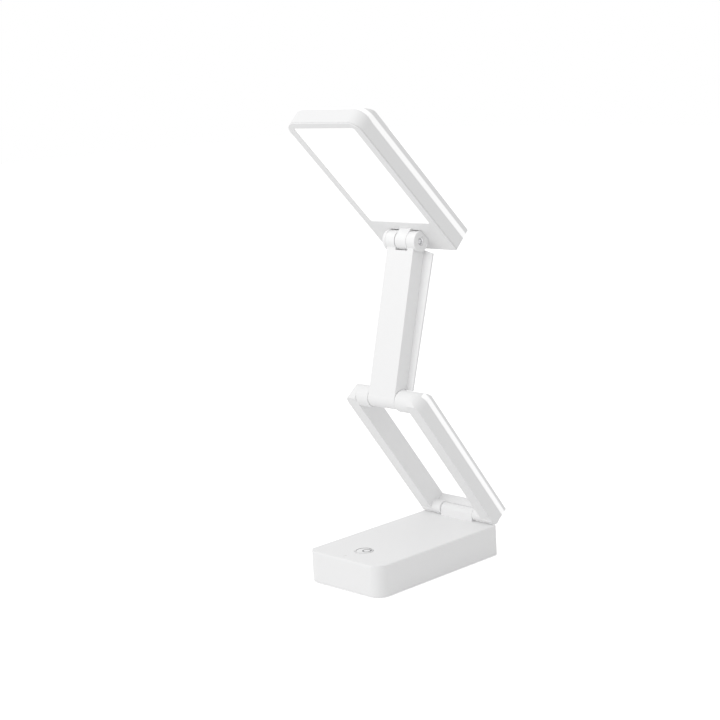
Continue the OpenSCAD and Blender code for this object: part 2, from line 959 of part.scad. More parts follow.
module upper_back_cover() {
    color("white")
        place_upper()
            difference() {
                translate([0, 0, upper_t])
                    linear_extrude(height = flange_t)
                        polygon([
                            [-flange_low_w / 2, -flange_near],
                            [flange_low_w / 2, -flange_near],
                            [flange_high_w / 2, -flange_far],
                            [upper_w / 2, -flange_far - flange_slant],
                            [tongue_x + slot_half, -flange_far - flange_slant],
                            [tongue_x + slot_half, -upper_len + slot_r + swing_gap],
                            [tongue_x - slot_half, -upper_len + slot_r + swing_gap],
                            [tongue_x - slot_half, -flange_far - flange_slant],
                            [-upper_w / 2, -flange_far - flange_slant],
                            [-flange_high_w / 2, -flange_far]
                        ]);
                at_upper_posts()
                    translate([0, 0, upper_t - over])
                        cylinder(r = screw_r + run_fit, h = flange_t + 2 * over);
                at_upper_posts()
                    translate([0, 0, upper_t + flange_t - screw_head_h])
                        cylinder(r = screw_head_r + run_fit, h = screw_head_h + over);
            }
}

module upper_screws() {
    color("silver")
        place_upper()
            at_upper_posts()
                translate([0, 0, upper_t + flange_t - screw_head_h])
                    mirror([0, 0, 1])
                        screw(arm_screw_len - flange_t);
}

module upper_wires() {
    color("firebrick")
        place_upper()
            for (z = [wire_r, 3 * wire_r + run_fit])
                translate([-upper_w / 2 + arm_wall + wire_r + run_fit, -upper_cavity_near - run_fit,
                           arm_wall + z + run_fit])
                    rotate([90, 0, 0])
                        cylinder(r = wire_r, h = upper_cavity_far - upper_cavity_near - 2 * run_fit);
}

module elbow_bush() {
    color("ivory")
        place_upper()
            translate([0, 0, elbow_back])
                difference() {
                    bar_x(elbow_bush_r, -upper_w / 2, upper_w / 2);
                    bar_x(pin_r + run_fit, -upper_w / 2 - over, upper_w / 2 + over);
                }
}

module head_pin() {
    color("silver")
        place_upper()
            translate([0, -upper_len, head_axis_back])
                difference() {
                    union() {
                        bar_x(pin_r, -ears_w / 2 + pin_head_h, ears_w / 2 - pin_head_h / 2);
                        bar_x(pin_head_r, ears_w / 2 - pin_head_h + run_fit, ears_w / 2 - pin_head_h / 2);
                    }
                    bar_x(pin_r / 2, ears_w / 2 - pin_head_h, ears_w / 2 + over);
                }
}

module head_washers() {
    color("gray")
        place_upper()
            translate([tongue_x, -upper_len, head_axis_back])
                washers(tongue_w / 2, tongue_r - side_gap, pin_r);
}

// Head

// Outline of the light panel, grown inwards by inset
module head_plan(inset) {
    plan(head_w - 2 * inset, head_near + inset, head_far - inset,
         head_near_r, head_corner_r - inset);
}

// Side view of the panel: the back curves down to the flat end wall at the free end
module head_profile() {
    translate([-(head_far - head_end_slope), 0])
        square([head_len - head_end_slope - head_back_r, head_t]);
    translate([-(head_far - head_end_slope), 0])
        square([head_len - head_end_slope, head_t - head_back_r]);
    translate([-head_near - head_back_r, head_t - head_back_r])
        circle(r = head_back_r);
    // A narrow flat bevel joins the end wall to the curve
    intersection() {
        translate([-(head_far - head_end_slope), head_t - head_end_r])
            circle(r = head_end_r);
        polygon([
            [-head_far, 0],
            [-head_far, head_end_t - end_bevel],
            [-head_far + head_end_slope, head_end_t - end_bevel + head_end_slope * end_bevel_share],
            [-head_far + head_end_slope, 0]
        ]);
    }
    translate([-head_far, 0])
        square([head_end_slope, head_end_t - 2 * end_bevel]);
}

// Part of the panel in front of the line where the front shell ends; it rises to the end wall's edge
module head_front_zone(grow) {
    along_x(head_w + 2 * over)
        polygon([
            [-head_near + over, -over],
            [-head_near + over, head_split + grow],
            [-(head_far - band_rise), head_split + grow],
            [-head_far, head_end_t - band_lip + grow],
            [-head_far - over, head_end_t - band_lip + grow],
            [-head_far - over, -over]
        ]);
}

// End view of the panel: both back edges rounded
module head_end_view() {
    translate([-head_w / 2, 0])
        square([head_w, head_t - head_back_r]);
    translate([-head_w / 2 + head_back_r, 0])
        square([head_w - 2 * head_back_r, head_t]);
    for (side = [-1, 1])
        translate([side * (head_w / 2 - head_back_r), head_t - head_back_r])
            circle(r = head_back_r);
}

module head_solid(z0, z1) {
    intersection() {
        slab(z0, z1)
            head_plan(0);
        along_x(head_w)
            head_profile();
        translate([0, -(head_near + head_far) / 2, 0])
            along_y(head_len)
                head_end_view();
    }
}

module window_plan(grow) {
    translate([0, -window_mid])
        rounded(2 * window_x + 2 * grow, window_len + 2 * grow, window_r + grow);
}

// Places of the screws that hold the back shell: two at the hinge end and two at the tail's sides
module at_head_posts() {
    for (side = [-1, 1], s = head_post_s)
        translate([side * head_post_x, -s, 0])
            children();
}

module head_front_shell() {
    color("white")
        place_head()
            difference() {
                union() {
                    intersection() {
                        difference() {
                            head_solid(0, head_band_end);
                            slab(head_wall, head_band_end + over)
                                head_plan(head_wall);
                        }
                        head_front_zone(0);
                    }
                    at_head_posts()
                        slab(head_wall / 2, head_band_end)
                            circle(r = head_post_r);
                    // Thicker wall behind the grooves that take the ears
                    intersection() {
                        translate([0, 0, -head_axis_front])
                            bar_x(groove_r + groove_wall, -ears_w / 2 - swing_gap - groove_wall,
                                  ears_w / 2 + swing_gap + groove_wall);
                        slab(0, head_split)
                            head_plan(head_wall / 2);
                    }
                    // Tongue between the ears
                    translate([tongue_x, 0, -head_axis_front]) {
                        bar_x(tongue_r, -tongue_w / 2, tongue_w / 2);
                        translate([-tongue_w / 2, -tongue_r, 0])
                            cube([tongue_w, 2 * tongue_r, head_axis_front + head_wall / 2]);
                    }
                }
                slab(-over, head_wall + over)
                    window_plan(0);
                for (side = [-1, 1])
                    mirror([side > 0 ? 0 : 1, 0, 0])
                        translate([0, 0, -head_axis_front])
                            bar_x(groove_r, tongue_w / 2 + side * tongue_x, ears_w / 2 + swing_gap);
                translate([tongue_x, 0, -head_axis_front])
                    bar_x(elbow_bush_r + seat_fit, -tongue_w / 2 - over, tongue_w / 2 + over);
                at_head_posts()
                    translate([0, 0, head_band_end - arm_screw_len])
                        cylinder(r = screw_r + run_fit, h = arm_screw_len + over);
            }
}

module diffuser() {
    color("white")
        place_head() {
            slab(panel_set, head_wall + panel_flange_t)
                window_plan(-panel_gap);
            slab(head_wall, head_wall + panel_flange_t)
                window_plan(panel_flange);
        }
}

module reflector() {
    color("white")
        place_head()
            difference() {
                slab(head_wall + panel_flange_t, reflector_back)
                    window_plan(panel_flange);
                slab(head_wall, reflector_back + over)
                    window_plan(panel_flange - reflector_t);
            }
}

module led_board() {
    color("whitesmoke")
        place_head()
            slab(reflector_back, reflector_back + led_board_t)
                window_plan(panel_flange);
}

module led_chips() {
    color("gold")
        place_head()
            for (i = [0 : led_cols - 1], j = [0 : led_rows - 1])
                translate([
                    (i - (led_cols - 1) / 2) * 2 * window_x / led_cols - led_w / 2,
                    -window_mid + (j - (led_rows - 1) / 2) * window_len / led_rows - led_len / 2,
                    reflector_back - led_t
                ])
                    cube([led_w, led_len, led_t]);
}

module head_band() {
    color("snow")
        place_head()
            difference() {
                head_solid(head_split, head_band_end);
                slab(head_split - over, head_band_end + over)
                    head_plan(head_band_t);
                head_front_zone(0);
            }
}

module head_back_shell() {
    color("white")
        place_head()
            difference() {
                union() {
                    difference() {
                        head_solid(head_band_end, head_t);
                        // The hollow stops where the back begins to curve down
                        slab(head_band_end - over, head_t - head_wall)
                            intersection() {
                                head_plan(head_band_t);
                                translate([-head_w / 2, -(head_far - head_end_slope + end_hollow)])
                                    square([head_w, head_len]);
                            }
                    }
                    // Ribs that press the light board against its tray
                    intersection() {
                        slab(reflector_back + led_board_t, head_t - head_wall / 2)
                            translate([0, -window_mid])
                                difference() {
                                    rounded(window_x, window_len / 2, window_r);
                                    rounded(window_x - 2 * head_wall, window_len / 2 - 2 * head_wall, window_r);
                                }
                        head_solid(0, head_t);
                    }
                    at_head_posts()
                        slab(head_band_end, head_t - head_wall / 2)
                            circle(r = head_post_r);
                }
                at_head_posts()
                    translate([0, 0, head_band_end - over])
                        cylinder(r = screw_r + run_fit, h = head_t);
                at_head_posts()
                    translate([0, 0, head_t - screw_head_h])
                        cylinder(r = screw_head_r + run_fit, h = screw_head_h + over);
            }
}

module head_screws() {
    color("silver")
        place_head()
            at_head_posts()
                translate([0, 0, head_t - screw_head_h])
                    mirror([0, 0, 1])
                        screw(arm_screw_len);
}

module head_bush() {
    color("ivory")
        place_head()
            translate([tongue_x, 0, -head_axis_front])
                difference() {
                    bar_x(elbow_bush_r, -tongue_w / 2, tongue_w / 2);
                    bar_x(pin_r + run_fit, -tongue_w / 2 - over, tongue_w / 2 + over);
                }
}

base_housing();
base_cover();
base_pad();
ballast_plate();
battery_pack();
control_board();
board_components();
charge_socket();
switch_board();
switch_body();
indicator_lens();
base_screws();
board_screws();
shoulder_bush();
power_button();
switch_plunger();
lower_front_shell();
lower_band();
lower_back_shell();
lower_screws();
lower_wires();
shoulder_pin();
shoulder_washers();
elbow_pin();
elbow_washers();
upper_front_shell();
upper_back_cover();
upper_screws();
upper_wires();
elbow_bush();
head_pin();
head_washers();
head_front_shell();
diffuser();
reflector();
led_board();
led_chips();
head_band();
head_back_shell();
head_screws();
head_bush();
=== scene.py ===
"""Folding desk lamp: moulded shells, gloss trims, light panel, small parts and studio."""

import json
import math

import bmesh
import bpy
from mathutils import Matrix, Vector

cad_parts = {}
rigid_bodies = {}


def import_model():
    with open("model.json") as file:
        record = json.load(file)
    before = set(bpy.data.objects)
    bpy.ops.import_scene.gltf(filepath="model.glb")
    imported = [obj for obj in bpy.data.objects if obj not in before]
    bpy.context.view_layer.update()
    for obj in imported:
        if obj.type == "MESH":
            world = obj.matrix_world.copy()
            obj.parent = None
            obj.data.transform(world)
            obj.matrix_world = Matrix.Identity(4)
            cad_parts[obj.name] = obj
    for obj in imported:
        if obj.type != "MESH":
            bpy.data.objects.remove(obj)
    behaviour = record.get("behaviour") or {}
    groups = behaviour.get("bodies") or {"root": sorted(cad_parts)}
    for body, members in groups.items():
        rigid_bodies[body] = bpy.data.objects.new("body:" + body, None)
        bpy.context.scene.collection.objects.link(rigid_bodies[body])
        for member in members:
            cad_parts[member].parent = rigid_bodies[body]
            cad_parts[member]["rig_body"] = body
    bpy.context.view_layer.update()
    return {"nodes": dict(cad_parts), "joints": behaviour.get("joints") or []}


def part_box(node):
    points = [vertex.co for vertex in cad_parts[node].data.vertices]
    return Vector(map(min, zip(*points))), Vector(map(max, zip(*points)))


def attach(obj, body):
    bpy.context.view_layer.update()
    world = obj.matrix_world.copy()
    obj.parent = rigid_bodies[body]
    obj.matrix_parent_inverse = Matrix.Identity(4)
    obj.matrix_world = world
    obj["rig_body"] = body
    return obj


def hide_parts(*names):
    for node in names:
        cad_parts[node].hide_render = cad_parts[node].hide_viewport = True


bl_info = {
    "name": "Folding desk lamp",
    "version": (1, 0, 0),
    "blender": (4, 5, 0),
    "location": "3D View > Sidebar > Lamp",
    "description": "Finishes the packed folding lamp and sets up its studio",
    "category": "Object",
}

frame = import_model()
NODES = frame["nodes"]
MM = 0.001

# Tilt of each arm's back, which is where its screws are driven from
LOWER_TILT = math.radians(53.05)
UPPER_TILT = math.radians(104.5)
HEAD_TILT = math.radians(45.5)

# Points this close are one, and faces this flat, in degrees, are merged
MERGE_GAP = 2e-6
FLAT_ANGLE = 0.3
# Cosines from which a face counts as facing a direction, roughly and squarely
FACING = 0.9
FLAT_FACING = 0.99
# An edge is rounded from this angle on, where both its faces have room for so many widths,
# and not on a seam or round a screw hole
SHARP_ANGLE = 34.0
ROOM = 2.5
SEAM_GAP = 0.02 * MM
HOLE_R = 2.6 * MM

# Noise of the grained surfaces, and what it does to their tone and gloss
BROAD_SCALE = 35.0
FINE_DETAIL = 3.0
FINE_TONE = 0.35
BROAD_GLOSS = 0.1
FINE_GLOSS = 0.12
SHELL_GRAIN = 2400.0
SHELL_TONE = 0.006
SHELL_SPECULAR = 0.35
DRAWN = (1.0, 18.0, 18.0)

# Plain surfaces: colour, roughness, change of tone, scale and depth of the grain, and for some
# its stretch along each axis
SURFACES = {
    "foot_rubber": ((0.075, 0.078, 0.08), 0.85, 0.12, 1500.0, 2e-5),
    "lens_plastic": ((0.8, 0.8, 0.79), 0.3, 0.02, 1200.0, 1e-6),
    "tongue_plastic": ((0.03, 0.03, 0.032), 0.5, 0.1, 1800.0, 3e-6),
    # Painted shade: near-black paint for the ring sunk in each pin's end, where the well lies in
    # shadow
    "painted_shade_well": ((0.05, 0.05, 0.052), 0.5, 0.1, 1500.0, 2e-6),
    "bush_acetal": ((0.78, 0.75, 0.66), 0.4, 0.03, 1600.0, 2e-6),
    "cell_wrap": ((0.1, 0.16, 0.26), 0.35, 0.08, 300.0, 1e-5, (1.0, 8.0, 1.0)),
    "switch_plastic": ((0.035, 0.035, 0.038), 0.5, 0.1, 1500.0, 4e-6),
    "wire_jacket": ((0.42, 0.03, 0.03), 0.4, 0.1, 1400.0, 6e-6),
    "reflector_white": ((0.9, 0.9, 0.9), 0.25, 0.01, 1200.0, 2e-6),
    "chip_phosphor": ((0.85, 0.66, 0.12), 0.35, 0.06, 1800.0, 4e-6),
    "ballast_steel": ((0.36, 0.36, 0.37), 0.5, 0.12, 500.0, 1e-5, (1.0, 20.0, 1.0)),
    "nickel_sleeve": ((0.62, 0.61, 0.59), 0.28, 0.06, 900.0, 2e-6, DRAWN),
    "contact_gold": ((0.78, 0.6, 0.3), 0.25, 0.06, 900.0, 2e-6, DRAWN),
    "drawn_pin": ((0.78, 0.78, 0.79), 0.3, 0.06, 900.0, 2e-6, DRAWN),
    "plated_screw": ((0.56, 0.56, 0.57), 0.32, 0.06, 900.0, 2e-6, (6.0, 6.0, 6.0)),
    "spring_washer": ((0.5, 0.5, 0.52), 0.35, 0.06, 900.0, 2e-6, (3.0, 3.0, 3.0)),
}

# Button, its printed mark, and a line of painted shade round the edge of its dish
CAP_SIDES = 72
FLANGE_T = 0.9 * MM
FLANGE_REACH = 1.2 * MM
CAP_RIM = 0.55 * MM
CAP_DISH = 0.12 * MM
CAP_ROUND = 0.1 * MM
CAP_RINGS = 3
MARK_R = 2.4 * MM
MARK_LINE = 0.85 * MM
MARK_SHIFT = (1.55 * MM, 0.8 * MM)
MARK_DEPTH = 0.5 * MM
MARK_RELIEF = 4.0
RIM_SHADE_R = 4.8 * MM
RIM_SHADE_LINE = 0.3 * MM

# Indicator lens
LENS_SIDES = 40
LENS_FLANGE = 0.9 * MM
LENS_GAP = 0.02 * MM
LENS_DOME = 0.08 * MM
LENS_STEPS = 4

# Charging socket
SLEEVE_ROUND = 0.06 * MM
TONGUE_W = 6.2 * MM
TONGUE_T = 0.86 * MM
TONGUE_AT = 0.55
TONGUE_REACH = 0.72
CONTACTS = 6
CONTACT_PITCH = 0.95 * MM
CONTACT_W = 0.4 * MM
CONTACT_LENGTH = 3.4 * MM
CONTACT_AT = 0.2
CONTACT_T = 0.16 * MM
SMALL_ROUND = 0.3

# Lower arm, in its own coordinates: across, back along the arm, depth behind the face
POLISHED_SIDE = 0.7
FRAME_SEAT = 3.6 * MM
OPENING_X = 20.7 * MM
REBATE = 0.95 * MM
LIP_LEVELS = (11.05 * MM, 11.85 * MM)
LIP_ROOT = 0.7 * MM
LIP_FAR = 91.5 * MM
LIP_T = 1.3 * MM
LIP_ROUND = 0.12 * MM
HEEL_SIDES = 64
HEEL_R = 4.02 * MM
HEEL_X = (13.3 * MM, 29.3 * MM)
HEEL_ROUND = 0.35 * MM
HEEL_FLAT = 0.4
EAR_SIDES = 96
EAR_SEAT = 5.9 * MM
EAR_X = (11.02 * MM, 24.5 * MM)
EAR_ROUNDS = ((5.86 * MM, 0.3 * MM, 0.0), (6.5 * MM, 0.95 * MM, 0.65 * MM))
EAR_EDGE = 0.2 * MM
EAR_FADE = 1.6 * MM

# Upper arm
COVER_DROP = 1.5 * MM
RING_X = (10.9 * MM, 12.8 * MM)
RING_R = 6.12 * MM
RING_ROUND = 0.15 * MM
RING_HOLE_R = 2.5 * MM

# Groove round the light panel's bezel
GROOVE_W = 0.22 * MM
GROOVE_DEPTH = 0.3 * MM
GROOVE_LEVEL = 0.65 * MM
SIDE_WALL = 0.1
HEAD_RIM = 4.0 * MM

# Screws and pins
CAD_HEAD_H = 1.1 * MM
SCREW_R = 1.0 * MM
SCREW_HEAD_R = 1.85 * MM
SCREW_HEAD_H = 1.05 * MM
SCREW_SIDES = 36
SCREW_DOME = 0.45
TIP_TAPER = 0.35
RECESS_LENGTH = 2.3 * MM
RECESS_WIDTH = 0.5 * MM
RECESS_DEPTH = 0.65 * MM
RECESS_TAPER = (0.45, 0.7, 1)
PIN_ROUND = 0.1 * MM
WELL_RIM = 0.3
WELL_RING = 0.36
WELL_DEPTH = 0.7 * MM
WELL_RISE = 0.5

# Camera, fitted to the photograph's edges, and light
CAMERA_AT = Vector((0.67051, -0.68763, 0.31065))
CAMERA_YAW = -0.7937356
CAMERA_PITCH = 0.1863187
CAMERA_ROLL = 0.0540581
SENSOR = 36.0
CLIP_START = 0.01
KEY_AT = Vector((-0.35, -1.35, 1.05))
KEY_TARGET = Vector((0, 0, 0.14))
WHITE = (1.0, 1.0, 1.0, 1.0)


def back_of(tilt):
    """Unit vector out of the back of an arm with this tilt."""
    return Vector((0, math.sin(tilt), math.cos(tilt)))


def along(tilt):
    """Unit vector along an arm with this tilt, away from its lower hinge."""
    return Vector((0, -math.cos(tilt), math.sin(tilt)))


# ---------------------------------------------------------------- materials


class Wave:
    """One output in a shader tree. Arithmetic on it adds Math nodes."""

    def __init__(self, finish, socket):
        self.finish = finish
        self.socket = socket

    def _math(self, operation, a, b, clamp=False):
        settings = {"operation": operation, "use_clamp": clamp}
        return self.finish.node("ShaderNodeMath", settings, {0: a, 1: b})

    def __add__(self, other):
        return self._math("ADD", self, other)

    def __sub__(self, other):
        return self._math("SUBTRACT", self, other)

    def __mul__(self, other):
        return self._math("MULTIPLY", self, other)

    def __gt__(self, other):
        return self._math("GREATER_THAN", self, other)

    def __lt__(self, other):
        return self._math("LESS_THAN", self, other)

    def distance(self):
        """This number without its sign."""
        return self._math("ABSOLUTE", self, 0.0)

    def root(self):
        """The square root of this number."""
        return self._math("SQRT", self, 0.0)

    def either(self, other):
        """The larger of two masks."""
        return self._math("MAXIMUM", self, other)

    def held(self):
        """This number kept between 0 and 1."""
        return self._math("ADD", self, 0.0, clamp=True)


class Finish:
    """A material under construction around one Principled shader."""

    def __init__(self, name, **constants):
        self.material = bpy.data.materials.new(name)
        self.material.use_nodes = True
        self.tree = self.material.node_tree
        self.shader = self.tree.nodes["Principled BSDF"]
        for socket, value in constants.items():
            self.set(socket.replace("_", " "), value)
        self.place = self.node("ShaderNodeTexCoord", output="Object")

    def node(self, kind, settings=None, inputs=None, output=0):
        """Adds a node: its settings first, then the values or links of its sockets."""
        made = self.tree.nodes.new(kind)
        for key, value in (settings or {}).items():
            setattr(made, key, value)
        for key, value in (inputs or {}).items():
            self.feed(made.inputs[key], value)
        return Wave(self, made.outputs[output])

    def feed(self, socket, value):
        if isinstance(value, Wave):
            self.tree.links.new(value.socket, socket)
        else:
            socket.default_value = value

    def set(self, socket, value):
        """Feeds one socket of the Principled shader."""
        self.feed(self.shader.inputs[socket], value)

    def noise(self, scale, detail=2.0, stretch=None):
        """Noise over the object's own place, centred on 0, and stretched if asked."""
        place = self.place
        if stretch:
            place = self.node("ShaderNodeMapping", inputs={"Vector": place, "Scale": stretch})
        made = self.node(
            "ShaderNodeTexNoise", inputs={"Vector": place, "Scale": scale, "Detail": detail}
        )
        return made - 0.5

    def blend(self, share, first, second):
        """A colour between two, by a share from 0 to 1."""
        return self.node(
            "ShaderNodeMix", {"data_type": "RGBA"}, {0: share, 6: first, 7: second}, output=2
        )

    def bump(self, height, depth):
        """Relief of this depth in metres."""
        relief = {"Height": height, "Distance": depth, "Strength": 1.0}
        self.set("Normal", self.node("ShaderNodeBump", inputs=relief))

    def axes(self, place):
        """The three numbers of a place."""
        split = self.node("ShaderNodeSeparateXYZ", inputs={"Vector": place})
        return (Wave(self, split.socket.node.outputs[axis]) for axis in range(3))


def length(x, y):
    """Length of the flat vector of two numbers."""
    return (x * x + y * y).root()


def rgba(colour, level=1.0):
    """A colour with an alpha, brightened or darkened by a level."""
    return (*(min(channel * level, 1.0) for channel in colour), 1.0)


def grained(name, colour, roughness, tone, grain, depth, stretch=None, **constants):
    """A surface with a fine grain, a broad change of tone and a changing gloss."""
    finish = Finish(name, **constants)
    broad = finish.noise(BROAD_SCALE)
    fine = finish.noise(grain, FINE_DETAIL, stretch)
    share = (broad + fine * FINE_TONE + 0.5).held()
    finish.set("Base Color", finish.blend(share, rgba(colour, 1 - tone), rgba(colour, 1 + tone)))
    finish.set("Roughness", broad * BROAD_GLOSS + fine * FINE_GLOSS + roughness)
    finish.bump(fine, depth)
    return finish


def shell_plastic():
    """Satin white moulding with a spark-eroded grain."""
    look = bpy.context.scene.lamp_finish
    return grained(
        "satin_shell", look.shell_colour, look.shell_roughness, SHELL_TONE, SHELL_GRAIN,
        look.grain_depth, Specular_IOR_Level=SHELL_SPECULAR,
    ).material


def gloss_trim():
    """Polished white trim that runs round the frame and the panel, brightened by a painted glow.
    """
    look = bpy.context.scene.lamp_finish
    # The emission is painted light: an even glow in the trim's colour that brightens the trims.
    finish = grained(
        "gloss_trim", look.trim_colour, 0.14, tone=0.004, grain=900.0, depth=1e-6,
        Coat_Weight=0.6, Coat_Roughness=0.05, Emission_Strength=look.trim_painted_glow,
    )
    finish.set("Emission Color", rgba(look.trim_colour))
    return finish.material


def opal_panel():
    """Frosted opal sheet, lit from behind by the rows of chips."""
    look = bpy.context.scene.lamp_finish
    finish = grained(
        "opal_panel", look.panel_colour, 0.5, tone=0.004, grain=3200.0, depth=3e-6,
        Emission_Strength=look.panel_glow,
    )
    cloud = finish.noise(60.0)
    warm = finish.blend((cloud + 0.5).held(), (1.0, 0.99, 0.97, 1.0), WHITE)
    finish.set("Emission Color", warm)
    return finish.material


def cap_plastic(centre):
    """The button's plastic, with a ring printed on its top inside a fine rim line of painted
    shade.
    """
    look = bpy.context.scene.lamp_finish
    finish = Finish("button_cap", Specular_IOR_Level=SHELL_SPECULAR)
    middle = finish.node(
        "ShaderNodeMapping", inputs={"Vector": finish.place, "Location": -Vector(centre)}
    )
    x, y, z = finish.axes(middle)
    # The rim line is painted shade, a dark line where the dish steps down; the ring is print.
    rim = (length(x, y) - RIM_SHADE_R).distance() < RIM_SHADE_LINE / 2
    off = length(x - MARK_SHIFT[0], y - MARK_SHIFT[1])
    ring = (off - MARK_R).distance() < MARK_LINE / 2
    mark = ring.either(rim) * (z > -MARK_DEPTH)
    fine = finish.noise(SHELL_GRAIN, FINE_DETAIL)
    unmarked = finish.blend(
        (finish.noise(BROAD_SCALE) + 0.5).held(),
        rgba(look.shell_colour, 1 - SHELL_TONE), rgba(look.shell_colour, 1 + SHELL_TONE),
    )
    finish.set("Base Color", finish.blend(mark, unmarked, rgba(look.mark_and_rim_shade_colour)))
    finish.set("Roughness", fine * BROAD_GLOSS + look.shell_roughness)
    finish.bump(fine - mark * MARK_RELIEF, look.grain_depth)
    return finish.material


def plain(name, **constants):
    """A material out of the table of plain surfaces."""
    return grained(name, *SURFACES[name], **constants).material


def metal(name):
    """A metal out of the same table."""
    return plain(name, Metallic=1.0)


def circuit_board():
    """Green solder mask with raised tracks and bare pads."""
    finish = Finish("solder_mask", Specular_IOR_Level=0.5)
    tracks = finish.node(
        "ShaderNodeTexBrick", {"offset": 0.35},
        {"Vector": finish.place, "Scale": 260.0, "Mortar Size": 0.06, "Bias": 0.0}, output="Fac",
    )
    green = finish.blend(tracks, (0.02, 0.11, 0.05, 1.0), (0.05, 0.22, 0.1, 1.0))
    finish.set("Base Color", green)
    finish.set("Roughness", finish.noise(900.0) * 0.15 + 0.35)
    finish.bump(tracks, 3e-5)
    return finish.material


def led_strip_board():
    """White coated light board with a faint grid of tracks."""
    finish = Finish("light_board")
    tracks = finish.node(
        "ShaderNodeTexBrick", {"offset": 0.5},
        {"Vector": finish.place, "Scale": 110.0, "Mortar Size": 0.03}, output="Fac",
    )
    finish.set("Base Color", finish.blend(tracks, (0.86, 0.86, 0.84, 1.0), (0.7, 0.68, 0.6, 1.0)))
    finish.set("Roughness", finish.noise(500.0) * 0.1 + 0.35)
    finish.bump(tracks, 2e-5)
    return finish.material


# ---------------------------------------------------------------- modelling helpers


def clear_selection():
    """Leaves edit mode and selects nothing."""
    if bpy.context.object and bpy.context.object.mode != "OBJECT":
        bpy.ops.object.mode_set(mode="OBJECT")
    bpy.ops.object.select_all(action="DESELECT")


def activate(piece):
    """Makes one piece the only selected and active one."""
    clear_selection()
    piece.select_set(True)
    bpy.context.view_layer.objects.active = piece
    return piece


def edit(piece, element="EDGE"):
    """Opens a piece in edit mode with nothing selected, and gives its bmesh."""
    activate(piece)
    bpy.ops.object.mode_set(mode="EDIT")
    bpy.ops.mesh.select_mode(type=element)
    bpy.ops.mesh.select_all(action="DESELECT")
    return bmesh.from_edit_mesh(piece.data)


def pick_faces(piece, test):
    """Selects, in edit mode, the faces whose centre and normal pass a test."""
    mesh = bmesh.from_edit_mesh(piece.data)
    bpy.ops.mesh.select_mode(type="FACE")
    bpy.ops.mesh.select_all(action="DESELECT")
    for face in mesh.faces:
        face.select_set(bool(test(face.calc_center_median(), face.normal)))
    bmesh.update_edit_mesh(piece.data)


def pick_facing(piece, x=0, y=0, z=0):
    """Selects, in edit mode, the faces that face a direction."""
    way = Vector((x, y, z))
    pick_faces(piece, lambda at, normal: normal.dot(way) > FACING)


def pick_all():
    """Selects, in edit mode, the whole mesh."""
    bpy.ops.mesh.select_all(action="SELECT")


def pick_edges(piece, test):
    """Selects, in edit mode, the edges that pass a test on their two ends."""
    mesh = bmesh.from_edit_mesh(piece.data)
    bpy.ops.mesh.select_mode(type="EDGE")
    bpy.ops.mesh.select_all(action="DESELECT")
    for edge in mesh.edges:
        edge.select_set(bool(test(edge.verts[0].co, edge.verts[1].co)))
    bmesh.update_edit_mesh(piece.data)


def extrude(x=0, y=0, z=0):
    """Extrudes the selected faces by a shift."""
    bpy.ops.mesh.extrude_region_move(TRANSFORM_OT_translate={"value": (x, y, z)})


def soften(width, segments=2, **settings):
    """Rounds the selected edges, or the edges of the selected faces."""
    bpy.ops.mesh.bevel(offset=width, segments=segments, affect="EDGES", **settings)


def leave_edit():
    """Goes back to object mode with nothing selected."""
    bpy.ops.mesh.select_all(action="DESELECT")
    bpy.ops.object.mode_set(mode="OBJECT")


def apply_modifier(piece, kind, **settings):
    """Adds a modifier and applies it."""
    activate(piece)
    modifier = piece.modifiers.new(kind.lower(), kind)
    for key, value in settings.items():
        setattr(modifier, key, value)
    bpy.ops.object.modifier_apply(modifier=modifier.name)


def settle(piece):
    """Puts a piece's place into its mesh and leaves its object at the origin."""
    activate(piece)
    bpy.ops.object.transform_apply(location=True, rotation=True, scale=True)
    return piece


def cylinder(sides, radius, depth, at, turn=(0, 0, 0)):
    """A cylinder along Z, unless it is turned."""
    clear_selection()
    bpy.ops.mesh.primitive_cylinder_add(
        vertices=sides, radius=radius, depth=depth, location=at, rotation=turn
    )
    return settle(bpy.context.object)


def bar(sides, radius, span, y=0, z=0):
    """A cylinder along X from one place to another."""
    near, far = span
    at = ((near + far) / 2, y, z)
    return cylinder(sides, radius, far - near, at, (0, math.pi / 2, 0))


def block(at, size):
    """A box round a place."""
    clear_selection()
    bpy.ops.mesh.primitive_cube_add(size=1, location=at, scale=size)
    return settle(bpy.context.object)


def joined(parts):
    """Several pieces made into one."""
    activate(parts[0])
    for part in parts[1:]:
        part.select_set(True)
    bpy.ops.object.join()
    return bpy.context.object


def twin(name, piece):
    """A copy of a piece with a mesh of its own."""
    made = bpy.data.objects.new(name, piece.data.copy())
    bpy.context.scene.collection.objects.link(made)
    return made


def smooth(piece, angle=32.0):
    """Shades rounded stretches smooth and keeps the flats flat."""
    activate(piece)
    bpy.ops.object.shade_smooth_by_angle(angle=math.radians(angle))
    apply_modifier(piece, "WEIGHTED_NORMAL", keep_sharp=True, weight=100)


def finish_piece(piece, name, body, slot, material, *nodes):
    """Names a finished piece, gives it its material and ties it to its body and nodes."""
    piece.name = name
    piece.data.name = name
    piece.data.materials.clear()
    piece.data.materials.append(material)
    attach(piece, body)
    if nodes:
        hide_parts(*nodes)
    return piece


def satin():
    """The plastic of the shells."""
    return bpy.data.materials["satin_shell"]


def both_sides(piece, name, body, place):
    """Finishes a piece on the right side, and its mirrored copy on the left."""
    other = twin(name, piece)
    other.data.transform(Matrix.Scale(-1, 4, (1, 0, 0)))
    other.data.flip_normals()
    for side, label in ((piece, "_right"), (other, "_left")):
        side.data.transform(place)
        smooth(side)
        finish_piece(side, name + label, body, "white_shell", satin())


def body_of(node):
    return NODES[node]["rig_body"]


def middle_of(points):
    return sum(points, Vector()) / len(points)


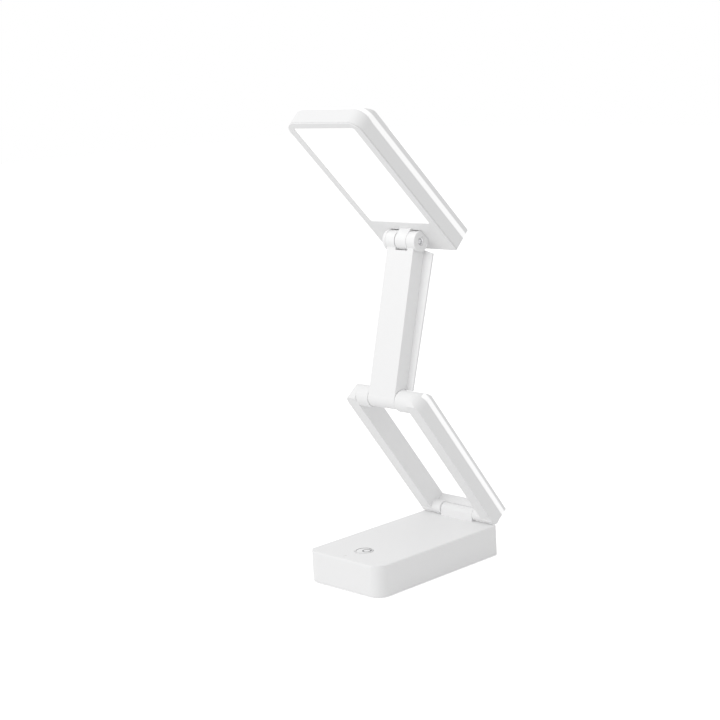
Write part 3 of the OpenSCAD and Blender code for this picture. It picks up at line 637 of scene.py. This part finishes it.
def merged_copy(node):
    """A copy of a node's solid with its loose triangles merged into flat faces."""
    piece = twin(node, NODES[node])
    edit(piece, "FACE")
    pick_all()
    bpy.ops.mesh.customdata_custom_splitnormals_clear()
    bpy.ops.mesh.remove_doubles(threshold=MERGE_GAP)
    pick_all()
    bpy.ops.mesh.dissolve_limited(angle_limit=math.radians(FLAT_ANGLE))
    leave_edit()
    return piece


def levels(node, direction):
    """Lowest and highest place of a node along a direction."""
    depths = [vertex.co.dot(direction) for vertex in NODES[node].data.vertices]
    return min(depths), max(depths)


def can_round(edge, width, seams, holes):
    """Whether a sharp outer edge has room for its rounding and lies on no seam or screw hole."""
    if len(edge.link_faces) != 2 or not edge.is_convex:
        return False
    if edge.calc_face_angle() < math.radians(SHARP_ANGLE):
        return False
    first, second = (vertex.co for vertex in edge.verts)
    for direction, level in seams:
        if all(abs(at.dot(direction) - level) < SEAM_GAP for at in (first, second)):
            return False
    for middle, direction in holes:
        reach = (first + second) / 2 - middle
        if (reach - direction * reach.dot(direction)).length < HOLE_R:
            return False
    line = (second - first).normalized()
    for face in edge.link_faces:
        sides = [corner.co - first for corner in face.verts]
        if max((side - line * side.dot(line)).length for side in sides) < ROOM * width:
            return False
    return True


def soft_shell(
    node, name, slot, material, width, seams=(), split=False, moves=(), holes=(), groove=None
):
    """Replaces a node by its solid with the outer edges rounded, as a mould leaves them.

    Seams are levels where it meets a neighbour, and holes are screw holes: neither is
    rounded. Moves are pairs of a test on a face and the way that such faces are shifted
    first. A shell whose flat faces are cut up by many holes is split into triangles.
    """
    piece = merged_copy(node)
    for test, shift in moves:
        edit(piece)
        pick_faces(piece, test)
        bpy.ops.transform.translate(value=shift)
        leave_edit()
    if split:
        edit(piece)
        pick_all()
        bpy.ops.mesh.quads_convert_to_tris(quad_method="BEAUTY", ngon_method="BEAUTY")
        leave_edit()
    if groove:
        cut_groove(piece, *groove)
    mesh = edit(piece)
    for edge in mesh.edges:
        if can_round(edge, width, seams, holes):
            edge.select_set(True)
    bmesh.update_edit_mesh(piece.data)
    soften(width)
    leave_edit()
    smooth(piece)
    return finish_piece(piece, name, body_of(node), slot, material, node)


def white_shell(node, name, seams=(), **more):
    """Replaces a node by its solid with soft edges, in the shells' plastic."""
    width = bpy.context.scene.lamp_finish.edge_round
    return soft_shell(node, name, "white_shell", satin(), width, seams, **more)


def white_trim(node, name, seams):
    """Replaces a node by its solid with soft edges, in the gloss of the trims."""
    width = bpy.context.scene.lamp_finish.trim_round
    gloss = bpy.data.materials["gloss_trim"]
    return soft_shell(node, name, "white_gloss", gloss, width, seams)


def cut_groove(piece, out, level, outside):
    """Sinks a fine groove at a level into the side walls that pass a test."""
    edit(piece)
    for height in (level, level + GROOVE_W):
        pick_all()
        bpy.ops.mesh.bisect(plane_co=out * height, plane_no=out)
    pick_faces(
        piece,
        lambda at, normal: level < at.dot(out) < level + GROOVE_W
        and abs(normal.dot(out)) < SIDE_WALL and outside(at, normal),
    )
    bpy.ops.mesh.extrude_region_shrink_fatten(TRANSFORM_OT_shrink_fatten={"value": -GROOVE_DEPTH})
    leave_edit()


def islands(node):
    """The separate solids of a node, each as a list of points."""
    piece = NODES[node]
    points = [vertex.co for vertex in piece.data.vertices]
    keys = [tuple(round(value / MERGE_GAP) for value in point) for point in points]
    root = {key: key for key in keys}

    def find(key):
        while root[key] != key:
            root[key] = root[root[key]]
            key = root[key]
        return key

    for face in piece.data.polygons:
        first = find(keys[face.vertices[0]])
        for index in face.vertices[1:]:
            root[find(keys[index])] = first
    groups = {}
    for key, point in zip(keys, points):
        groups.setdefault(find(key), []).append(point)
    return list(groups.values())


def turned_to(direction):
    """Rotation that takes +Z to a direction."""
    return Vector((0, 0, 1)).rotation_difference(direction).to_matrix().to_4x4()


class LampFinish(bpy.types.PropertyGroup):
    """Colours, gloss and edge sizes of the lamp's own pieces."""

    shell_colour: bpy.props.FloatVectorProperty(
        name="Shell colour", description="Satin white plastic of the shells",
        default=(0.86, 0.86, 0.862), subtype="COLOR", min=0.0, max=1.0,
    )
    shell_roughness: bpy.props.FloatProperty(
        name="Shell roughness", description="How dull the shells are", default=0.5,
        min=0.0, max=1.0, subtype="FACTOR",
    )
    grain_depth: bpy.props.FloatProperty(
        name="Grain depth", description="Relief of the mould's grain", default=4e-6,
        unit="LENGTH", precision=6,
    )
    trim_colour: bpy.props.FloatVectorProperty(
        name="Trim colour", description="Gloss trims round the frame and the panel",
        default=(0.93, 0.93, 0.93), subtype="COLOR", min=0.0, max=1.0,
    )
    trim_painted_glow: bpy.props.FloatProperty(
        name="Trim painted glow", description="Painted glow that brightens the trims",
        default=0.25, min=0.0,
    )
    panel_colour: bpy.props.FloatVectorProperty(
        name="Panel colour", description="Opal sheet in front of the light board",
        default=(0.92, 0.92, 0.915), subtype="COLOR", min=0.0, max=1.0,
    )
    panel_glow: bpy.props.FloatProperty(
        name="Panel glow", description="Light that the opal sheet gives", default=0.35, min=0.0,
    )
    mark_and_rim_shade_colour: bpy.props.FloatVectorProperty(
        name="Mark and rim shade colour", description="Printed switch mark on the button, and the painted rim shade",
        default=(0.2, 0.2, 0.205), subtype="COLOR", min=0.0, max=1.0,
    )
    edge_round: bpy.props.FloatProperty(
        name="Edge rounding", description="Rounding of the shells' outer edges",
        default=0.25 * MM, unit="LENGTH", precision=5,
    )
    trim_round: bpy.props.FloatProperty(
        name="Trim rounding", description="Rounding of the trims' edges",
        default=0.12 * MM, unit="LENGTH", precision=5,
    )


class LampStudio(bpy.types.PropertyGroup):
    """Light, floor and camera around the lamp."""

    ambient: bpy.props.FloatProperty(
        name="Ambient", description="Soft light from all around", default=0.785, min=0.0,
    )
    key_power: bpy.props.FloatProperty(
        name="Key light", description="Power of the large soft light, in watts",
        default=8.2, min=0.0, unit="POWER",
    )
    key_size: bpy.props.FloatProperty(
        name="Key size", description="Side of the large soft light", default=1.0, unit="LENGTH",
    )
    floor_size: bpy.props.FloatProperty(
        name="Floor size", description="Side of the floor", default=8.0, unit="LENGTH",
    )
    floor_lift: bpy.props.FloatProperty(
        name="Floor lift", description="White that the camera sees added to the floor",
        default=0.58, min=0.0,
    )
    lens: bpy.props.FloatProperty(
        name="Lens", description="Focal length of the camera on a 36 mm sensor",
        default=82.45, subtype="DISTANCE_CAMERA",
    )


# ---------------------------------------------------------------- pieces


class LAMP_OT_base(bpy.types.Operator):
    """Finish the base: housing, bottom cover and soft foot"""

    bl_idname = "lamp.base"
    bl_label = "Base"

    def execute(self, context):
        white_shell("base_housing", "base_shell")
        white_shell("base_cover", "base_bottom")
        rubber = plain("foot_rubber")
        width = context.scene.lamp_finish.edge_round
        soft_shell("base_pad", "base_foot", "rubber_pad", rubber, width)
        return {"FINISHED"}


class LAMP_OT_button(bpy.types.Operator):
    """Model the push button: flange, cap, rounded rim and shallow dish"""

    bl_idname = "lamp.button"
    bl_label = "Button"

    def execute(self, context):
        low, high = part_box("power_button")
        centre = (low + high) / 2
        flange_r = (high.x - low.x) / 2
        cap_r = flange_r - FLANGE_REACH
        at = (centre.x, centre.y, low.z + FLANGE_T / 2)
        cap = cylinder(CAP_SIDES, flange_r, FLANGE_T, at)
        edit(cap)
        pick_facing(cap, z=1)
        bpy.ops.mesh.inset(thickness=FLANGE_REACH)
        extrude(z=high.z - low.z - FLANGE_T)
        bpy.ops.mesh.inset(thickness=CAP_RIM)
        extrude(z=-CAP_DISH)
        for _ring in range(CAP_RINGS):
            bpy.ops.mesh.inset(thickness=cap_r / (CAP_RINGS + 2))
        bpy.ops.mesh.poke()

        def on_rim(point):
            """Whether a point lies on the cap's top rim."""
            reach = math.hypot(point.x - centre.x, point.y - centre.y)
            return point.z > high.z - CAP_DISH / 2 and abs(reach - cap_r) < MERGE_GAP * 5

        pick_edges(cap, lambda a, b: on_rim(a) and on_rim(b))
        soften(CAP_ROUND, 3, clamp_overlap=True)
        leave_edit()
        smooth(cap)
        top = (centre.x, centre.y, high.z - CAP_DISH)
        finish_piece(cap, "button_cap", "button", "white_shell", cap_plastic(top), "power_button")
        return {"FINISHED"}


class LAMP_OT_indicator(bpy.types.Operator):
    """Model the small indicator lens with its domed tip"""

    bl_idname = "lamp.indicator"
    bl_label = "Indicator lens"

    def execute(self, context):
        low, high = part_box("indicator_lens")
        centre = (low + high) / 2
        width = high.x - low.x
        at = (centre.x, centre.y, low.z + LENS_FLANGE / 2)
        lens = cylinder(LENS_SIDES, width / 2, LENS_FLANGE, at)
        edit(lens)
        pick_facing(lens, z=1)
        bpy.ops.mesh.inset(thickness=width / 4 + LENS_GAP)
        extrude(z=high.z - low.z - LENS_FLANGE - LENS_DOME)
        turns = [math.pi / 2 * step / LENS_STEPS for step in range(LENS_STEPS)]
        for before, after in zip(turns, turns[1:]):
            extrude(z=(math.sin(after) - math.sin(before)) * LENS_DOME)
            shrink = math.cos(after) / math.cos(before)
            bpy.ops.transform.resize(value=(shrink, shrink, 1))
        bpy.ops.mesh.poke()
        leave_edit()
        smooth(lens, 50.0)
        clear = plain("lens_plastic", Coat_Weight=0.3)
        finish_piece(lens, "lens_tip", "base", "white_gloss", clear, "indicator_lens")
        return {"FINISHED"}


class LAMP_OT_socket(bpy.types.Operator):
    """Model the charging socket: folded metal sleeve, tongue and contacts"""

    bl_idname = "lamp.socket"
    bl_label = "Charging socket"

    def execute(self, context):
        nickel = metal("nickel_sleeve")
        soft_shell("charge_socket", "socket_sleeve", "socket_metal", nickel, SLEEVE_ROUND)
        low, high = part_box("charge_socket")
        middle = (low + high) / 2
        depth = high.y - low.y
        tongue = block(
            (middle.x, low.y + depth * TONGUE_AT, middle.z),
            (TONGUE_W, depth * TONGUE_REACH, TONGUE_T),
        )
        edit(tongue)
        pick_facing(tongue, y=1)
        soften(TONGUE_T * SMALL_ROUND)
        leave_edit()
        smooth(tongue)
        dark = plain("tongue_plastic")
        finish_piece(tongue, "socket_tongue", "base", "dark_part", dark)
        top = middle.z + TONGUE_T / 2
        row_start = middle.x - CONTACT_PITCH * (CONTACTS - 1) / 2
        first = block(
            (row_start, middle.y + CONTACT_LENGTH * CONTACT_AT, top),
            (CONTACT_W, CONTACT_LENGTH, CONTACT_T),
        )
        edit(first)
        pick_edges(first, lambda a, b: min(a.z, b.z) > top)
        soften(CONTACT_T * SMALL_ROUND)
        leave_edit()
        smooth(first)
        gold = metal("contact_gold")
        row = [first] + [twin("contact", first) for _number in range(1, CONTACTS)]
        for index, contact in enumerate(row):
            contact.data.transform(Matrix.Translation((CONTACT_PITCH * index, 0, 0)))
            finish_piece(contact, f"socket_contact_{index + 1}", "base", "socket_metal", gold)
        return {"FINISHED"}


def satin_ends(band):
    """Gives the trim's end walls, which aren't polished, the shells' finish."""
    band.data.materials.append(satin())
    edit(band)
    pick_faces(band, lambda at, normal: abs(normal.x) < POLISHED_SIDE)
    band.active_material_index = 1
    bpy.ops.object.material_slot_assign()
    leave_edit()


def hinge_at(name):
    """Where a joint's axis crosses the lamp's middle plane."""
    return Vector(next(joint["pos_m"] for joint in frame["joints"] if joint["name"] == name))


def to_world(axis, tilt, depth):
    """Matrix from an arm's own frame (across, back along it, depth) to the lamp's."""
    out = back_of(tilt)
    columns = (Vector((1, 0, 0)), -along(tilt), out)
    turn = Matrix(columns).transposed().to_4x4()
    return Matrix.Translation(Vector(axis) - out * depth) @ turn


class LAMP_OT_lower_arm(bpy.types.Operator):
    """Finish the open frame: front shell, gloss trim, back shell, lips, heels and ears"""

    bl_idname = "lamp.lower_arm"
    bl_label = "Lower arm"

    def place(self):
        return to_world(hinge_at("shoulder_hinge"), LOWER_TILT, FRAME_SEAT)

    def lips(self):
        """The thin lip on the back shell that closes the seam round the opening."""
        low, high = LIP_LEVELS
        reach = LIP_FAR - LIP_ROOT
        side_x = OPENING_X + LIP_T / 2
        strips = (
            ((0, LIP_T / 2 - LIP_ROOT), (OPENING_X * 2, LIP_T)),
            ((side_x, -LIP_ROOT - reach / 2), (LIP_T, reach)),
            ((-side_x, -LIP_ROOT - reach / 2), (LIP_T, reach)),
        )
        lip = joined([
            block((*at, (low + high) / 2), (*size, high - low)) for at, size in strips
        ])
        edit(lip)
        pick_all()
        soften(LIP_ROUND)
        leave_edit()
        lip.data.transform(self.place())
        smooth(lip)
        finish_piece(lip, "frame_lip", "lower_arm", "white_shell", satin())

    def heels(self):
        """The two round heels on the hinge line that the frame turns on."""
        heel = bar(HEEL_SIDES, HEEL_R, HEEL_X, z=FRAME_SEAT)
        edit(heel)
        for end in HEEL_X:
            pick_faces(heel, lambda at, normal: abs(at.x - end) < MERGE_GAP)
            soften(HEEL_ROUND, 3)
            pick_faces(heel, lambda at, normal: abs(at.x - end) < MERGE_GAP)
            bpy.ops.mesh.inset(thickness=HEEL_R * HEEL_FLAT)
        leave_edit()
        both_sides(heel, "frame_heel", "lower_arm", self.place())

    def ears(self):
        """The two round ears beside the elbow, swollen towards the back, inside the opening."""
        ear = joined([
            bar(EAR_SIDES, radius, EAR_X, down, EAR_SEAT + behind)
            for radius, down, behind in EAR_ROUNDS
        ])
        edit(ear)
        pick_all()
        bpy.ops.mesh.convex_hull()
        bpy.ops.mesh.dissolve_limited(angle_limit=math.radians(FLAT_ANGLE))
        pick_facing(ear, x=-1)
        soften(EAR_EDGE)
        pick_facing(ear, x=1)
        soften(EAR_FADE, 5)
        leave_edit()
        place = to_world(hinge_at("elbow_hinge"), LOWER_TILT, EAR_SEAT)
        both_sides(ear, "frame_ear", "lower_arm", place)

    def opening_moves(self):
        """The faces of the back shell's opening, each with its shift inwards."""
        way = along(LOWER_TILT)
        root = hinge_at("shoulder_hinge").dot(way) + LIP_ROOT + REBATE
        side_x = OPENING_X + REBATE

        def on_side(side):
            return lambda at, normal: (
                normal.x * side < -FACING and abs(at.x * side - side_x) < REBATE / 2
            )

        def on_root(at, normal):
            return (
                normal.dot(way) > FACING and abs(at.dot(way) - root) < REBATE / 2
                and abs(at.x) < side_x
            )

        return [
            (on_side(1), (-REBATE, 0, 0)), (on_side(-1), (REBATE, 0, 0)), (on_root, -way * REBATE),
        ]

    def execute(self, context):
        out = back_of(LOWER_TILT)
        seams = [(out, level) for level in levels("lower_band", out)]
        white_shell("lower_front_shell", "frame_front", seams, split=True)
        satin_ends(white_trim("lower_band", "frame_trim", seams))
        moves = self.opening_moves()
        holes = [(middle_of(points), out) for points in islands("lower_screws")]
        white_shell("lower_back_shell", "frame_back", seams, moves=moves, holes=holes)
        self.lips()
        self.heels()
        self.ears()
        return {"FINISHED"}


class LAMP_OT_upper_arm(bpy.types.Operator):
    """Finish the slim arm: front shell, the end rings of its ears and the wide back cover"""

    bl_idname = "lamp.upper_arm"
    bl_label = "Upper arm"

    def end_rings(self):
        """The flat rings on the ends of the two ears, round the head pin."""
        ring = bar(EAR_SIDES, RING_R, RING_X)
        edit(ring)
        pick_facing(ring, x=1)
        soften(RING_ROUND, 3)
        pick_faces(ring, lambda at, normal: abs(normal.x) > FLAT_FACING)
        bpy.ops.mesh.inset(thickness=RING_R - RING_ROUND - RING_HOLE_R)
        pick_faces(
            ring,
            lambda at, normal: abs(normal.x) > FLAT_FACING and at.yz.length < RING_HOLE_R / 2,
        )
        bpy.ops.mesh.bridge_edge_loops()
        leave_edit()
        place = Matrix.Translation(hinge_at("head_hinge"))
        both_sides(ring, "ear_ring", "upper_arm", place)

    def execute(self, context):
        out = back_of(UPPER_TILT)
        way = along(UPPER_TILT)
        seams = [(out, levels("upper_back_cover", out)[0])]
        white_shell("upper_front_shell", "arm_front", seams)
        low = levels("upper_back_cover", way)[0]

        def on_end(at, normal):
            """Whether a face is the cover's lower end."""
            return normal.dot(way) < -FACING and at.dot(way) < low + COVER_DROP

        white_shell("upper_back_cover", "arm_cover", seams, moves=[(on_end, -way * COVER_DROP)])
        self.end_rings()
        return {"FINISHED"}


class LAMP_OT_head(bpy.types.Operator):
    """Finish the light panel: bezel, gloss trim, back shell and opal sheet"""

    bl_idname = "lamp.head"
    bl_label = "Head"

    def execute(self, context):
        out = back_of(HEAD_TILT)
        span = along(HEAD_TILT)
        seams = [(out, level) for level in levels("head_band", out)]
        side_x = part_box("head_front_shell")[1].x
        far_end = levels("head_front_shell", span)[1]
        points = [vertex.co for vertex in NODES["head_front_shell"].data.vertices]
        front = min(at.dot(out) for at in points if at.x > side_x - GROOVE_W)

        def outside(at, normal):
            """Whether a wall is on the panel's sides or free end and faces out."""
            past_side = abs(at.x) > side_x - HEAD_RIM and normal.x * at.x > 0
            return past_side or (at.dot(span) > far_end - HEAD_RIM and normal.dot(span) > 0)

        groove = (out, front + GROOVE_LEVEL, outside)
        white_shell("head_front_shell", "head_bezel", seams, groove=groove)
        white_trim("head_band", "head_trim", seams)
        white_shell("head_back_shell", "head_back", seams)
        width = context.scene.lamp_finish.trim_round
        soft_shell("diffuser", "light_panel", "diffuser", opal_panel(), width)
        return {"FINISHED"}


def cross_cutter():
    """A tapered cross, two blades at right angles, that presses the drive recess."""
    top = (0, 0, SCREW_HEAD_H)
    cutter = block(top, (RECESS_LENGTH, RECESS_WIDTH, RECESS_DEPTH * 2))
    edit(cutter)
    pick_facing(cutter, z=-1)
    bpy.ops.transform.resize(value=RECESS_TAPER)
    pick_all()
    bpy.ops.mesh.duplicate()
    bpy.ops.transform.rotate(value=math.pi / 2, orient_axis="Z", center_override=top)
    leave_edit()
    return cutter


def model_screw(reach):
    """One pan-head screw along Z: domed head on top, cross recess, shank and tapered tip."""
    screw = cylinder(SCREW_SIDES, SCREW_HEAD_R, SCREW_HEAD_H, (0, 0, SCREW_HEAD_H / 2))
    edit(screw)
    pick_facing(screw, z=-1)
    bpy.ops.mesh.inset(thickness=SCREW_HEAD_R - SCREW_R)
    extrude(z=SCREW_R - reach)
    extrude(z=-SCREW_R)
    bpy.ops.transform.resize(value=(TIP_TAPER, TIP_TAPER, 1))
    pick_edges(screw, lambda a, b: min(a.z, b.z) > SCREW_HEAD_H / 2)
    soften(SCREW_HEAD_H * SCREW_DOME, 4)
    leave_edit()
    cutter = cross_cutter()
    apply_modifier(
        screw, "BOOLEAN", object=cutter, operation="DIFFERENCE", solver="EXACT", use_self=True
    )
    bpy.data.objects.remove(cutter)
    smooth(screw, 40.0)
    return screw


class LAMP_OT_screws(bpy.types.Operator):
    """Model one screw for each length and set a copy in every screw hole"""

    bl_idname = "lamp.screws"
    bl_label = "Screws"

    def execute(self, context):
        plated = metal("plated_screw")
        heads = {
            "base_screws": Vector((0, 0, -1)),
            "board_screws": Vector((0, 0, 1)),
            "lower_screws": back_of(LOWER_TILT),
            "upper_screws": back_of(UPPER_TILT),
            "head_screws": back_of(HEAD_TILT),
        }
        for node, out in heads.items():
            side = Vector((1, 0, 0))
            across = out.cross(side)
            places = []
            for points in islands(node):
                depths = [point.dot(out) for point in points]
                wide = [point.dot(side) for point in points]
                tall = [point.dot(across) for point in points]
                seat = (
                    out * (max(depths) - CAD_HEAD_H)
                    + side * (min(wide) + max(wide)) / 2
                    + across * (min(tall) + max(tall)) / 2
                )
                places.append((seat, max(depths) - min(depths) - CAD_HEAD_H))
            screw = model_screw(places[0][1])
            places.sort(key=lambda place: tuple(place[0]))
            for number, (seat, _reach) in enumerate(places):
                copy = twin(node, screw)
                copy.data.transform(Matrix.Translation(seat) @ turned_to(out))
                name = f"{node[:-1]}_{number + 1}"
                finish_piece(copy, name, body_of(node), "steel", plated, node)
            bpy.data.objects.remove(screw)
        return {"FINISHED"}


class LAMP_OT_hinges(bpy.types.Operator):
    """Finish the hinge pins, washers and bushes"""

    bl_idname = "lamp.hinges"
    bl_label = "Hinges"

    def sink_end(self, pin, side):
        """Sinks a ring into one end of a pin, round a bright middle, and paints the ring near
        black as painted shade in the well.
        """
        end = max(vertex.co.x * side for vertex in pin.data.vertices)
        rim = end - MERGE_GAP
        points = [vertex.co for vertex in pin.data.vertices if vertex.co.x * side > rim]
        middle = middle_of(points)
        radius = max((point - middle).length for point in points)
        edit(pin)
        pick_faces(pin, lambda at, normal: at.x * side > rim)
        bpy.ops.mesh.inset(thickness=radius * WELL_RIM)
        extrude(x=-side * WELL_DEPTH)
        pin.active_material_index = 1
        bpy.ops.object.material_slot_assign()
        bpy.ops.mesh.inset(thickness=radius * WELL_RING)
        extrude(x=side * WELL_DEPTH * WELL_RISE)
        pin.active_material_index = 0
        bpy.ops.object.material_slot_assign()
        leave_edit()

    def execute(self, context):
        drawn = metal("drawn_pin")
        # Near-black painted shade for the ring sunk in each pin's end
        black = plain("painted_shade_well")
        for node in ("shoulder_pin", "elbow_pin", "head_pin"):
            pin = soft_shell(node, node + "_turned", "steel", drawn, PIN_ROUND)
            pin.data.materials.append(black)
            for side in (-1, 1):
                self.sink_end(pin, side)
            smooth(pin)
        spring = metal("spring_washer")
        for node in ("shoulder_washers", "elbow_washers", "head_washers"):
            soft_shell(node, node[:-1] + "_pair", "steel", spring, PIN_ROUND)
        acetal = plain("bush_acetal")
        for node in ("shoulder_bush", "elbow_bush", "head_bush"):
            soft_shell(node, node + "_sleeve", "bush_plastic", acetal, PIN_ROUND)
        return {"FINISHED"}


class LAMP_OT_inner_parts(bpy.types.Operator):
    """Give the parts inside the shells their materials"""

    bl_idname = "lamp.inner_parts"
    bl_label = "Inner parts"

    def execute(self, context):
        black = plain("switch_plastic")
        board = circuit_board()
        jacket = plain("wire_jacket")
        looks = {
            "ballast_plate": metal("ballast_steel"),
            "battery_pack": plain("cell_wrap"),
            "control_board": board,
            "switch_board": board,
            "board_components": black,
            "switch_body": black,
            "switch_plunger": black,
            "lower_wires": jacket,
            "upper_wires": jacket,
            "reflector": plain("reflector_white"),
            "led_board": led_strip_board(),
            "led_chips": plain("chip_phosphor"),
        }
        for node, material in looks.items():
            for slot in NODES[node].material_slots:
                slot.material = material
        return {"FINISHED"}


# ---------------------------------------------------------------- studio


def seen_directly(finish):
    """1 for rays that come from the camera, a mirror or glass, else 0."""
    path = finish.node("ShaderNodeLightPath")
    rays = [
        Wave(finish, path.socket.node.outputs[ray])
        for ray in ("Is Camera Ray", "Is Glossy Ray", "Is Transmission Ray")
    ]
    return (rays[0] + rays[1] + rays[2]).held()


class Backdrop(Finish):
    """The world's shader tree."""

    def __init__(self, world):
        world.use_nodes = True
        self.tree = world.node_tree
        self.tree.nodes.clear()


class LAMP_OT_stage(bpy.types.Operator):
    """Set the floor, the soft light and the camera"""

    bl_idname = "lamp.stage"
    bl_label = "Studio"

    def execute(self, context):
        scene = context.scene
        studio = scene.lamp_studio
        self.floor(context, studio)
        self.world(scene, studio)
        self.lights(context, studio)
        self.camera(context, studio)
        scene.view_settings.view_transform = "Standard"
        return {"FINISHED"}

    def floor(self, context, studio):
        clear_selection()
        bpy.ops.mesh.primitive_plane_add(size=studio.floor_size, location=(0, 0, 0))
        floor = context.object
        settle(floor)
        floor.name = "studio_floor"
        finish = Finish("studio_floor", Roughness=0.9, Specular_IOR_Level=0.0)
        tone = finish.noise(3.0)
        pale = finish.blend((tone + 0.5).held(), (0.8, 0.8, 0.8, 1.0), (0.81, 0.81, 0.81, 1.0))
        finish.set("Base Color", pale)
        glow = seen_directly(finish) * studio.floor_lift
        lift = finish.node("ShaderNodeEmission", inputs={"Color": WHITE, "Strength": glow})
        both = finish.node("ShaderNodeAddShader")
        finish.tree.links.new(finish.shader.outputs[0], both.socket.node.inputs[0])
        finish.tree.links.new(lift.socket, both.socket.node.inputs[1])
        finish.tree.links.new(both.socket, finish.tree.nodes["Material Output"].inputs["Surface"])
        floor.data.materials.append(finish.material)

    def world(self, scene, studio):
        scene.world = bpy.data.worlds.new("studio_world")
        backdrop = Backdrop(scene.world)
        seen = seen_directly(backdrop)
        ambient = backdrop.node(
            "ShaderNodeBackground", inputs={"Color": WHITE, "Strength": studio.ambient}
        )
        paper = backdrop.node("ShaderNodeBackground", inputs={"Color": WHITE, "Strength": 1.0})
        mixed = backdrop.node("ShaderNodeMixShader", inputs={0: seen, 1: ambient, 2: paper})
        output = backdrop.tree.nodes.new("ShaderNodeOutputWorld")
        backdrop.feed(output.inputs["Surface"], mixed)

    def lights(self, context, studio):
        clear_selection()
        bpy.ops.object.light_add(type="AREA", location=KEY_AT)
        light = context.object
        light.name = "key_light"
        light.rotation_mode = "QUATERNION"
        light.rotation_quaternion = (KEY_TARGET - KEY_AT).to_track_quat("-Z", "Y")
        light.data.energy = studio.key_power
        light.data.size = studio.key_size

    def camera(self, context, studio):
        flat = math.cos(CAMERA_PITCH)
        forward = Vector(
            (math.sin(CAMERA_YAW) * flat, math.cos(CAMERA_YAW) * flat, -math.sin(CAMERA_PITCH))
        )
        level = Vector((math.cos(CAMERA_YAW), -math.sin(CAMERA_YAW), 0))
        down = forward.cross(level)
        right = level * math.cos(CAMERA_ROLL) + down * math.sin(CAMERA_ROLL)
        below = down * math.cos(CAMERA_ROLL) - level * math.sin(CAMERA_ROLL)
        clear_selection()
        bpy.ops.object.camera_add()
        camera = context.object
        camera.name = "studio_camera"
        turn = Matrix((right, -below, -forward)).transposed().to_4x4()
        camera.matrix_world = Matrix.Translation(CAMERA_AT) @ turn
        camera.data.sensor_width = SENSOR
        camera.data.lens = studio.lens
        camera.data.clip_start = CLIP_START
        context.scene.camera = camera


# ---------------------------------------------------------------- add-on


class LAMP_PT_panel(bpy.types.Panel):
    """Sizes, colours and steps of the lamp"""

    bl_idname = "LAMP_PT_panel"
    bl_label = "Folding desk lamp"
    bl_space_type = "VIEW_3D"
    bl_region_type = "UI"
    bl_category = "Lamp"

    def draw(self, context):
        layout = self.layout
        for group in (context.scene.lamp_finish, context.scene.lamp_studio):
            column = layout.column(align=True)
            for key in group.__annotations__:
                column.prop(group, key)
        column = layout.column(align=True)
        for step in STEPS:
            column.operator(step.bl_idname)


STEPS = (
    LAMP_OT_base, LAMP_OT_button, LAMP_OT_indicator, LAMP_OT_socket, LAMP_OT_lower_arm,
    LAMP_OT_upper_arm, LAMP_OT_head, LAMP_OT_screws, LAMP_OT_hinges, LAMP_OT_inner_parts,
    LAMP_OT_stage,
)
CLASSES = (LampFinish, LampStudio, *STEPS, LAMP_PT_panel)


def register():
    for made in CLASSES:
        bpy.utils.register_class(made)
    bpy.types.Scene.lamp_finish = bpy.props.PointerProperty(type=LampFinish)
    bpy.types.Scene.lamp_studio = bpy.props.PointerProperty(type=LampStudio)


def unregister():
    del bpy.types.Scene.lamp_studio
    del bpy.types.Scene.lamp_finish
    for made in reversed(CLASSES):
        bpy.utils.unregister_class(made)


def main():
    """Registers the add-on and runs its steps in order."""
    register()
    shell_plastic()
    gloss_trim()
    bpy.ops.lamp.base()
    bpy.ops.lamp.button()
    bpy.ops.lamp.indicator()
    bpy.ops.lamp.socket()
    bpy.ops.lamp.lower_arm()
    bpy.ops.lamp.upper_arm()
    bpy.ops.lamp.head()
    bpy.ops.lamp.screws()
    bpy.ops.lamp.hinges()
    bpy.ops.lamp.inner_parts()
    bpy.ops.lamp.stage()


if __name__ == "__main__":
    main()
